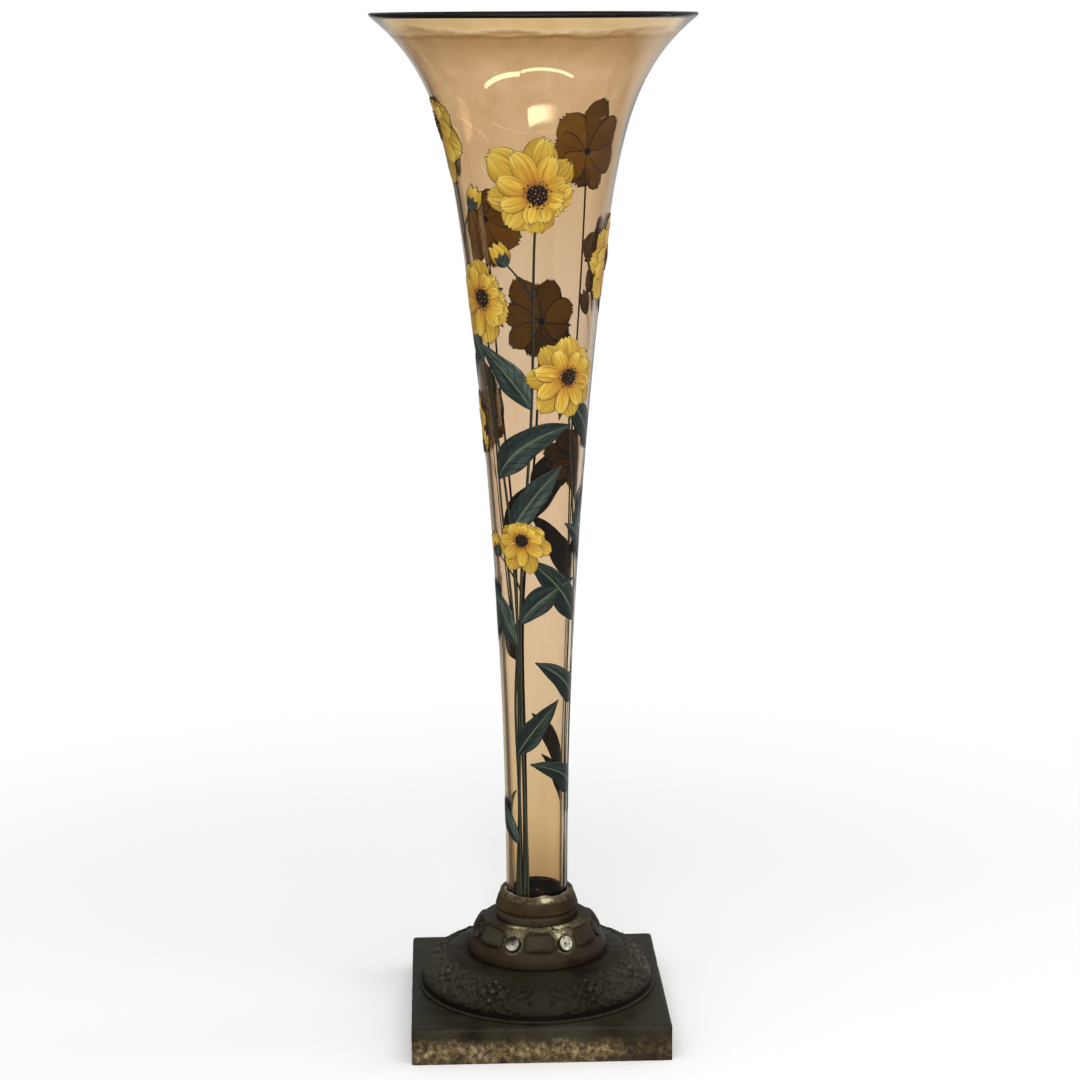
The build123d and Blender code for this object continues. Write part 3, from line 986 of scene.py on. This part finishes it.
def makePlasterMaterial():
    p = plaster
    material, tree, shader = newMaterial("oldPlaster")
    place = objectPlace(tree)
    crumb = noise(place, 520, 6.0, 0.7)
    colour = ramp(noise(place, 120, 4.0), p["colours"])
    colour = mix(between(crumb, 0.45, 0.3), colour, p["pits"])
    deep = between(axisPart(place, "Z"), (p["top"] - 0.2) * milli, (p["top"] - 1.2) * milli)
    fill(shader, {"Base Color": mix(deep, colour, p["deep"]), "Roughness": 0.92,
                  "Normal": bump(crumb, 0.5, 0.8)})
    return material


def makePlaster():
    p = plaster
    inner, outer, top, under = p["inner"], p["outer"], p["top"], horn["foot"]
    corners = [(outer, p["low"], 0.3), (outer, top - 0.4, 0.3), (outer - 0.4, top, 0.3),
               (inner + 0.3, top, 0.25), (inner, top - 0.3, 0.25), (inner, under + 5, 2),
               (p["sole"], under - 0.05, 2), (p["hole"], under - 0.1, 0.4), (p["hole"], p["low"], 0.2)]
    points, faces = turn(roundCorners(corners, closed=True), evenAngles(p["around"]))
    way, _ = compass(points)
    heap = np.exp(-((way - 12) / 15) ** 4) + 0.5 * hump(way, -60, 10)
    rough = ripple(points, 3.2, 8) * 0.5 + ripple(points, 1.4, 9) * 0.3
    atTop = climb(points[:, 2], top - 1.2, top - 0.2)
    points[:, 2] += atTop * (0.35 * rough + p["heap"] * heap * (0.75 + 0.5 * rough) - 0.15)
    _, out = compass(points)
    push = atTop * heap * climb(out, inner, outer) * (p["spill"] + 1.2 * rough)
    points[:, :2] *= (1 + push / out)[:, None]
    piece = makePiece("plaster", points, faces, makePlasterMaterial(), weld=True)
    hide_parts("plaster_bed")


# bell with cushion bosses

bell = {
    "seat": boxMm("dome_casting")[1][2], "top": collar["seat"], "foot": 42.0, "footHigh": 2.0,
    "bandLow": (37.0, 10.5),  # radius and height of the band that carries the bosses
    "bandHigh": (32.5, 19.0), "knee": 1.2, "seatEdge": 26.1, "bore": 22.05, "register": 36.95,
    "registerDeep": 3.0,
    "inside": (28.5, 33.0, 32.95),  # radii of the hollow from its ceiling down
    "wall": 4.0, "bosses": 7, "aroundBoss": 120, "bossHalfLow": 9.9, "bossHalfHigh": 8.2,
    "bossHalfHeight": 5.3, "bossLift": 3.6, "bossProud": 2.4,
    "bossSquare": (4.4, 4.0),  # powers that square its plan, across and upwards
    "fillet": 0.35, "uneven": 0.0016, "tone": (1.23, 1.16, 1.05),
    # old plaster dust: degrees from the front, spread and strength
    "spills": ((22, 10, 1.0), (-23, 8, 0.6)),  # run down between the front bosses
    "gathers": ((24, 14, 0.95), (-27, 13, 0.72)),  # left against the collar's foot
}


def bandWay():
    low, high = np.array(bell["bandLow"]), np.array(bell["bandHigh"])
    return low, (high - low) / np.linalg.norm(high - low)


def bellRows():
    # the outer face from foot to seat
    b = bell
    t = np.linspace(0, 1, 34)[:, None]
    foot, low = np.array((b["foot"], b["footHigh"])), np.array(b["bandLow"])
    high, seat = np.array(b["bandHigh"]), np.array((b["seatEdge"], b["top"] - b["seat"]))
    slope = high - low
    near, far = foot + (0, 4.5), low - 0.55 * slope  # the curve's pull at both ends
    skirt = (1 - t) ** 3 * foot + 3 * t * (1 - t) ** 2 * near + 3 * t * t * (1 - t) * far + t ** 3 * low
    band = low + np.linspace(0, 1, 44)[1:, None] * slope
    ease = np.linspace(0, 1, 14)[1:, None]
    knee = high + slope / np.linalg.norm(slope) * b["knee"]
    shoulder = (1 - ease) ** 2 * high + 2 * ease * (1 - ease) * knee + ease ** 2 * seat
    base = roundCorners([(b["register"], 0, 0), (b["foot"] - 0.1, 0, 0.6), (*foot, 0)])
    return np.concatenate([base[:-1], skirt, band, shoulder])


def makeBell():
    b = bell
    outer = bellRows()
    high = b["top"] - b["seat"]
    ceiling, deep = high - b["wall"], -b["registerDeep"]
    wide, middle, narrow = b["inside"]
    inner = [(b["bore"], high), (b["bore"], ceiling), (wide, ceiling), (middle, b["bandLow"][1]),
             (narrow, 0.0), (narrow, deep), (b["register"], deep)]
    profile = np.concatenate([outer, inner]) + (0, b["seat"])
    angles = evenAngles(b["bosses"] * b["aroundBoss"])
    low, along = bandWay()
    v = (outer - low) @ along - b["bossLift"] / along[1]  # up the band from the bosses' middle
    near = (np.abs((outer - low) @ np.array((along[1], -along[0]))) < 4.0)[None, :]
    pitch = fullTurn / b["bosses"]
    turnOff = (angles + pitch / 2) % pitch - pitch / 2
    u = turnOff[:, None] * outer[None, :, 0]
    half = b["bossHalfLow"] + (b["bossHalfHigh"] - b["bossHalfLow"]) * (v / b["bossHalfHeight"] + 1) / 2
    across, upward = b["bossSquare"]
    q = np.abs(u / half) ** across + np.abs(v / b["bossHalfHeight"])[None, :] ** upward
    pillow = np.where(near, np.clip(1 - q, 0, 1), 0)
    height = b["bossProud"] * pillow ** 0.4 * (0.88 + 0.12 * pillow)
    rim = np.where(near, hump(q, 1.42, 0.22), 0)  # a low fillet round each boss
    height = blur(height + b["fillet"] * rim, 2)
    lift = np.zeros((len(angles), len(profile)))
    face = slice(0, len(outer))
    lift[:, face] = height
    points, faces = turn(profile, angles, lift)
    points[:, :2] *= 1 + b["uneven"] * ripple(points, 26, 12)[:, None]
    piece = makePiece("bell", points, faces, bronzeMaterial("bellBronze", 0.25, b["tone"]))
    soft = blur(height.copy(), 14)
    edge, hollow, dust, bloom = (np.zeros_like(lift) for _ in range(4))
    # painted light: the bosses are paler on the left
    bloom[:, face] = pillow * np.clip(0.30 - 0.45 * np.sin(angles), 0, 0.6)[:, None]
    edge[:, face] = np.clip((height - soft) * 1.6, 0, 1)
    # painted shadow round the foot of each boss
    hollow[:, face] = np.clip((soft - height) * 1.7, 0, 1)
    off = np.abs(np.abs(turnOff) - pitch / 2)[:, None] * outer[None, :, 0]  # from the middle of the gap
    wedge = np.clip(1.3 - off / np.clip(1.0 + 0.75 * (v + 5.0), 0.4, 9.0), 0, 1) * climb(v, -4.5, -2.5)
    ledge = climb(outer[:, 0], b["seatEdge"] + 6.2, b["seatEdge"] + 4.7)
    patch = ripple(np.stack([30 * np.sin(angles), 30 * np.cos(angles), 0 * angles], -1), 34, 21)
    front = np.clip(0.18 + 0.52 * np.cos(angles - radians(8)) + 0.30 * patch, 0, 1)[:, None]
    studOff = np.hypot(off, v - (stud["lift"] - b["bossLift"]) / along[1])
    ring = np.where(near, hump(studOff, stud["radius"] + 1.0, 0.7), 0)  # round each stud
    lines = np.maximum(0.40 * ring, 0.14 * rim)
    crust = np.maximum(np.maximum(0.50 * ledge, lines), 0.60 * wedge) * front
    way = (np.degrees(angles) + 180) % 360 - 180
    spill, gathered = (sum(strength * hump(way, at, spread) for at, spread, strength in b[key])
                       for key in ("spills", "gathers"))
    brink = climb(outer[:, 0], b["seatEdge"] + 2.6, b["seatEdge"] + 1.6)  # against the collar's foot
    crust = np.maximum(crust, np.outer(0.34 + gathered, brink) * np.clip(front * 2.0, 0, 1))
    crust = np.maximum(crust, spill[:, None] * wedge * climb(v, -0.5, 1.5))
    dust[:, face] = crust * np.clip(1 - pillow * 5, 0, 1)
    addMarks(piece, edge=edge, hollow=hollow * (1 - dust), dust=dust, bloom=bloom)
    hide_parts("bell_casting")


# studs, set in the bell between its bosses

stud = {
    "lift": 2.5,  # up the bell's band from its foot
    "radius": 5.0, "shank": 1.6, "shankEnd": -3.0, "around": 48,
    "lean": (0.08, 0.06),  # each is set a little askew
    "shine": (1.0, 0.05, 0.1, 0.2, 0.1, 0.05, 0.95),  # painted highlight on each dish, from right of the front, anticlockwise from above
    "dull": (0.30, 0.275, 0.19), "pale": (0.70, 0.67, 0.54),
}


def makeStudMaterial():
    # the dish is rubbed to pale metal and carries a painted highlight, its rim and pit keep their dirt
    material, tree, shader = newMaterial("studMetal")
    place = objectPlace(tree)
    grain = noise(place, bronze["grain"], 5.0, 0.65)
    grime = between(noise(place, 330, 4.0), 0.34, 0.52, 0.4, 1.0)
    rubbedAndLit = times(mark(tree, "bright"), grime)
    old = mix(grain, bronze["deep"], bronze["grey"])
    pale = mix(between(grain, 0.35, 0.62), stud["dull"], stud["pale"])
    fill(shader, {"Base Color": mix(rubbedAndLit, old, pale), "Specular IOR Level": 0.3,
                  "Metallic": between(rubbedAndLit, 0.0, 1.0, 0.1, 0.2),
                  "Roughness": between(rubbedAndLit, 0.0, 1.0, 0.55, 0.48),
                  "Normal": bump(grain, 0.2, 0.4)})
    return material


def makeStuds():
    r, shank, end = stud["radius"], stud["shank"], stud["shankEnd"]
    low, along = bandWay()
    seat = low + along * stud["lift"] / along[1]
    profile = roundCorners([(0, end, 0), (shank, end, 0.2), (shank, -0.5, 0.2), (r, -0.6, 0.2),
                            (r, 0.7, 0.5), (r - 0.65, 1.5, 0.45), (r - 1.4, 1.05, 0.5), (2.2, 0.45, 0.6),
                            (0.95, 0.25, 0.25), (0.8, -0.35, 0.2), (0, -0.45, 0)])
    one, faces = turn(profile, evenAngles(stud["around"]), closed=False)
    _, reach = compass(one)
    dish = climb(reach, r - 0.55, r - 0.85) * climb(reach, 0.7, 1.0) * (one[:, 2] > 0.1)
    # lighter towards the lower right: painted light, with painted shade under the rim
    lower = np.clip(0.45 + 0.9 * (0.5 * one[:, 0] - one[:, 1]) / r, 0, 1)
    points, allFaces, bright = [], [], []
    for index, shine in enumerate(stud["shine"]):
        way = (index + 0.5) * fullTurn / bell["bosses"]
        draw = np.random.default_rng(90 + index)
        out = np.array((sin(way), -cos(way), 0))
        sideways = np.array((cos(way), sin(way), 0))
        up = out * along[0] + (0, 0, along[1])
        axis = out * along[1] - (0, 0, along[0])
        place = out * seat[0] + (0, 0, bell["seat"] + seat[1])
        leanSide, leanUp = stud["lean"]
        lean = axis + leanSide * draw.normal() * sideways + leanUp * draw.normal() * up
        lean /= np.linalg.norm(lean)
        x = np.cross(up, lean)
        x /= np.linalg.norm(x)
        y = np.cross(lean, x)
        scale = draw.uniform(0.95, 1.0)
        points.append(place + scale * (one[:, :1] * x + one[:, 1:2] * y) + one[:, 2:] * lean)
        allFaces.append(faces + index * len(one))
        bright.append(dish * shine * (1.0 if index == 0 else lower))  # painted light on the lower right and painted shade on the upper left, under the rim
    piece = makePiece("studs", np.concatenate(points), np.concatenate(allFaces), makeStudMaterial())
    addMarks(piece, bright=np.concatenate(bright))
    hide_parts("bead_studs")


# dome with its foliage

dome = {
    "seat": boxMm("plinth")[1][2], "foot": 71.5, "footHeight": 2.0, "crown": 44.0,
    "cushion": (26.0, 20.0),  # width and height of the cushion's quarter round
    "ease": 1.18,  # above 1 the cushion is a little flatter than an ellipse
    "opening": 37.0, "hollowEdge": 60.0, "hollowLift": 3.0, "wall": 4.0, "around": 1200, "rows": 120,
    "skin": 0.10,  # unevenness of the casting
    "seam": (0.6, 1.1),  # height and half width of the mould's seam over both sides
    "sprigs": ((27.0, 12.5), (63.0, 15.5)),  # degrees from the front or back, and rise up the cushion
    "relief": 1.8,
    # foot, tip, half width and share of the relief of a sprig's leaves
    "leaves": (((3, -2), (12, 8.5), 3.4, 1.0), ((8, -3), (20, -8.5), 3.0, 0.9),
               ((14, 0), (25, 4.5), 3.1, 0.85), ((2, -4), (9, -10.0), 2.6, 0.8)),
    # places and radii of its berries
    "sideBerries": ((17.5, 6.6, 1.7), (21.0, 9.2, 1.4), (14.5, -9.0, 1.3), (24.6, -2.2, 1.5)),
    "midBerries": ((0, 2.6, 2.3), (-3.3, 6.0, 1.8), (3.3, 6.0, 1.8), (0, 8.8, 1.9), (0, -3.2, 2.0)),
    # the dome's tone is darker and greener: its own patina, with painted shade on its upward faces
    "vine": 0.95, "seeds": 44, "tone": (0.72, 0.76, 0.66),
    "handled": (335, 20, 2.6),  # degrees, spread and strength: most on the sprig left of the front
}


def leafRelief(u, v, foot, tip, width, height, lobes=3.0):
    foot, tip = np.array(foot, float), np.array(tip, float)
    way = tip - foot
    long = np.linalg.norm(way)
    t = ((u - foot[0]) * way[0] + (v - foot[1]) * way[1]) / long ** 2
    w = ((v - foot[1]) * way[0] - (u - foot[0]) * way[1]) / long
    inside = (t > 0) & (t < 1)
    tt = np.clip(t, 0, 1)
    half = width * np.sin(pi * tt ** 0.75) * (0.84 + 0.16 * np.cos(fullTurn * lobes * tt)) + 1e-6
    q = np.clip(1 - (w / half) ** 2, 0, 1)
    rib = 0.35 * hump(w, 0.0, 0.32) + 0.12 * np.cos(fullTurn * (lobes * 2 * tt - np.abs(w) * 0.5))
    return np.where(inside, height * (q ** 0.45) * (1 - rib * q), 0)


def berryRelief(u, v, x, y, radius):
    return np.sqrt(np.clip(radius ** 2 - (u - x) ** 2 - (v - y) ** 2, 0, None))


def motifRelief(u, v):
    # a sprig of lobed leaves and berries on a curling stem, alike on both sides
    d = dome
    total = np.zeros_like(u)
    berries = list(d["midBerries"])
    for side in (-1, 1):
        curl = [(side * (2 + 21 * k), 5 - 9 * sin(pi * k * 0.9) + 7 * k * k) for k in np.linspace(0, 1, 40)]
        for x, y in curl:
            total = np.maximum(total, 0.8 * berryRelief(u, v, x, y, d["vine"]))
        for foot, tip, width, share in d["leaves"]:
            foot, tip = (side * foot[0], foot[1]), (side * tip[0], tip[1])
            total = np.maximum(total, leafRelief(u, v, foot, tip, width, d["relief"] * share))
        berries += [(side * x, y, radius) for x, y, radius in d["sideBerries"]]
        for order, (x, y) in enumerate(curl[6::4]):  # small berries on both sides of the vine
            berries.append((x, y + (2.3 if order % 2 else -2.1), 1.0))
    draw = np.random.default_rng(61)
    for _ in range(d["seeds"]):  # seeds and knops between the leaves
        berries.append((draw.uniform(-25, 25), draw.uniform(-10, 10), draw.uniform(0.6, 1.15)))
    for x, y, radius in berries:
        total = np.maximum(total, berryRelief(u, v, x, y, radius))
    return total


def makeDome():
    d = dome
    bend = np.linspace(0, pi / 2, d["rows"])
    seat = d["seat"]
    base = seat + d["footHeight"]
    (wide, tall), ease = d["cushion"], d["ease"]
    top, edgeOut = base + tall, d["crown"] + wide
    cushion = np.stack([d["crown"] + wide * np.cos(bend) ** ease, base + tall * np.sin(bend) ** ease], -1)
    lip = roundCorners([(d["hollowEdge"], seat, 0), (d["foot"], seat, 0.25), (d["foot"], seat + 1.7, 0.8),
                        (edgeOut + 0.6, base + 0.1, 0.5), (edgeOut + 0.05, base - 0.3, 0.3),
                        (edgeOut, base, 0)])[:-1]
    hollowBend = np.linspace(pi / 2, 0, 9)
    hollowLow = base + d["hollowLift"]
    hollowArc = np.stack([d["crown"] + (wide - d["wall"]) * np.cos(hollowBend),
                          hollowLow + (tall - d["hollowLift"] - d["wall"]) * np.sin(hollowBend)], -1)
    inner = np.concatenate([[(d["opening"], top), (d["opening"], top - d["wall"])], hollowArc,
                            [(d["hollowEdge"], hollowLow)]])
    profile = np.concatenate([lip, cushion, inner])
    angles = evenAngles(d["around"])
    steps = np.hypot(*np.diff(cushion, axis=0).T)
    s = np.concatenate([[0], np.cumsum(steps)])  # distance up the cushion from its foot
    fold = np.abs((angles + pi / 2) % pi - pi / 2)  # alike on both sides of the front and at the back
    height = np.zeros((len(angles), d["rows"]))
    for way, rise in d["sprigs"]:
        u = (fold - radians(way))[:, None] * cushion[None, :, 0]
        height = np.maximum(height, motifRelief(u, np.broadcast_to(s - rise, u.shape)))
    fade = climb(s, 0.0, 2.5) * climb(s, 29.0, 23.0)
    seamHigh, seamHalf = d["seam"]
    seam = hump((pi / 2 - fold)[:, None] * cushion[None, :, 0], 0.0, seamHalf)
    raised = np.maximum(blur(height, 1), seamHigh * seam) * fade
    lift = np.zeros((len(angles), len(profile)))
    rows = slice(len(lip), len(lip) + d["rows"])
    lift[:, rows] = raised
    points, faces = turn(profile, angles, lift)
    skin = (points[:, 2] > seat + 0.5)[:, None]
    points += skin * d["skin"] * np.stack([ripple(points, 9, 31 + k) for k in range(3)], -1)
    piece = makePiece("dome", points, faces, bronzeMaterial("domeBronze", 0.6, d["tone"]))
    soft = blur(raised.copy(), 16)
    edge, hollow, bloom = (np.zeros_like(lift) for _ in range(3))
    at, spread, strength = d["handled"]
    handled = 0.9 + strength * hump(np.degrees(angles), at, spread)
    proud = np.clip(raised / d["relief"] - 0.90, 0, 1) * 2.2 * handled[:, None]
    edge[:, rows] = np.clip(proud + 0.32 * (raised - soft) - 0.06 + 0.28 * seam * fade, 0, 1)
    dirt = 0.65 * climb(s, 4.0, 2.0) + 0.4 * climb(s, 33.0, 35.0)  # painted shade in the groove along the lip, and dirt and painted shade under the bell
    hollow[:, rows] = np.clip((soft - raised) * 0.8 + dirt, 0, 1)
    # paler towards both sides and on the lip's top: dry bloom with painted light
    sides = np.sin(angles) ** 2
    bloom[:, :len(lip)] = np.outer(0.15 + 0.60 * sides, climb(lip[:, 1], seat + 0.9, seat + 1.7))
    bloom[:, rows] = np.outer(0.75 * sides, climb(s, 3.0, 7.0) * climb(s, 28.0, 22.0))
    addMarks(piece, edge=edge, hollow=hollow, bloom=bloom)
    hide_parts("dome_casting")


# plinth

plinth = {
    "half": 76.0, "height": boxMm("plinth")[1][2], "wall": 6.0, "topWall": 6.0, "hole": 5.3,
    "arris": 2.6,  # easing of the upper edge
    "corner": 160,  # power that squares the plan: the higher, the sharper
    "perSide": 60,
    "step": 2.2,  # longest step between rows
    "square": (12, 32),  # radii between which the round hole becomes a square
    "tone": (1.15, 1.45, 1.6), "paintedSideLight": (1.17, 1.09, 0.98),
    "gold": [(0.34, (0.045, 0.031, 0.013)), (0.46, (0.125, 0.088, 0.036)), (0.56, (0.20, 0.146, 0.066)),
             (0.68, (0.36, 0.28, 0.15))],
    "rosy": (1.04, 0.98, 1.10), "unrubbed": (0.022, 0.016, 0.009),
    "goldTop": (0.0225, 0.0170),  # metres: where the rubbed band ends
    "goldDrift": 0.012,
}


def plinthWear(tree, place, colour):
    # the sides are rubbed to a speckled gold brown below, most in the middle of that band
    p = plinth
    x, y, z = (axisPart(place, axis) for axis in "XYZ")
    drift = times(noise(place, 90, 6.0, 0.7), p["goldDrift"])
    lowBand = between(plus(z, drift), *p["goldTop"])
    gold = ramp(noise(place, 350, 3.5, 0.6), p["gold"])
    gold = mix(between(noise(place, 140, 2.0), 0.42, 0.60), gold, p["rosy"], "MULTIPLY")
    uneven = between(noise(place, 60, 4.0), 0.34, 0.54, 0.62, 1.0)
    corner = calc("MAXIMUM", between(x, 0.056, 0.034, 0.30, 1.0),
                  between(y, -0.056, -0.034, 0.30, 1.0))  # darker at the front right corner
    upper = between(z, 0.0130, 0.0080, 0.58, 1.0)
    lower = between(z, 0.0020, 0.0060, 0.55, 1.0)
    gold = mix(times(uneven, corner, upper, lower), p["unrubbed"], gold)
    # painted light: upright faces are lighter than the top
    normal = node(tree, "NewGeometry").outputs["Normal"]
    upright = between(calc("ABSOLUTE", axisPart(normal, "Z")), 0.75, 0.35)
    side = mix(1.0, colour, p["paintedSideLight"], "MULTIPLY")
    return mix(times(lowBand, upright), mix(upright, colour, side), gold)


def makePlinth():
    p = plinth
    side = np.arctan(np.tan(np.linspace(-pi / 4, pi / 4, p["perSide"], endpoint=False)))
    angles = np.concatenate([side + k * pi / 2 for k in range(4)])
    power = p["corner"]
    plan = (np.abs(np.cos(angles)) ** power + np.abs(np.sin(angles)) ** power) ** (-1 / power)
    plan /= plan.min()
    half, top, ceiling = p["half"], p["height"], p["height"] - p["topWall"]
    inner, hole = half - p["wall"], p["hole"]
    corners = roundCorners([(inner, 0, 0.4), (half, 0, 0.5), (half, top, p["arris"]), (hole, top, 0.3),
                            (hole, ceiling, 0.3), (inner, ceiling, 0.8)], closed=True)
    rows = []
    for a, b in zip(corners, np.roll(corners, -1, 0)):
        steps = max(1, int(np.linalg.norm(b - a) / p["step"]))
        rows += [a + (b - a) * k / steps for k in range(steps)]
    profile = np.array(rows)
    points, faces = turn(profile, angles)
    grown = 1 + np.outer(plan - 1, climb(profile[:, 0], *p["square"]))
    points[:, :2] = np.clip(points[:, :2] * grown.reshape(-1, 1), -half, half)
    lively = np.abs(0.16 * ripple(points, 24, 51) + 0.08 * ripple(points, 9, 52))
    inward = lively[:, None] * (np.abs(points[:, :2]) > half - 0.4)
    points[:, :2] -= np.sign(points[:, :2]) * inward
    points[:, 2] -= lively * (points[:, 2] > top - 0.3)
    piece = makePiece("plinth", points, faces, bronzeMaterial("plinthBronze", 0.6, p["tone"], plinthWear))
    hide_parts("plinth")


# bolt, washer, nut and pins keep their turned shapes

steel = {
    "colours": [(0.35, (0.20, 0.19, 0.18)), (0.52, (0.11, 0.095, 0.08)), (0.66, (0.13, 0.055, 0.022))],
    "turned": (1, 1, 14),  # fine marks across the axis
}


def makeSteel():
    material, tree, shader = newMaterial("oldSteel")
    place = objectPlace(tree)
    rust = noise(place, 160, 6.0, 0.65)
    turned = noise(stretch(place, steel["turned"]), 240, 3.0)
    fill(shader, {"Base Color": ramp(rust, steel["colours"]),
                  "Metallic": between(rust, 0.62, 0.50),
                  "Roughness": between(rust, 0.35, 0.65, 0.35, 0.8),
                  "Normal": bump(turned, 0.15, 0.5)})
    for name in ("tie_bolt", "bolt_washer", "bolt_nut", "dowel_pins"):
        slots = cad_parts[name].data.materials
        slots.clear()
        slots.append(material)


makeCollar()
makePlaster()
makeBell()
makeStuds()
makeDome()
makePlinth()
makeSteel()
print("mount made")
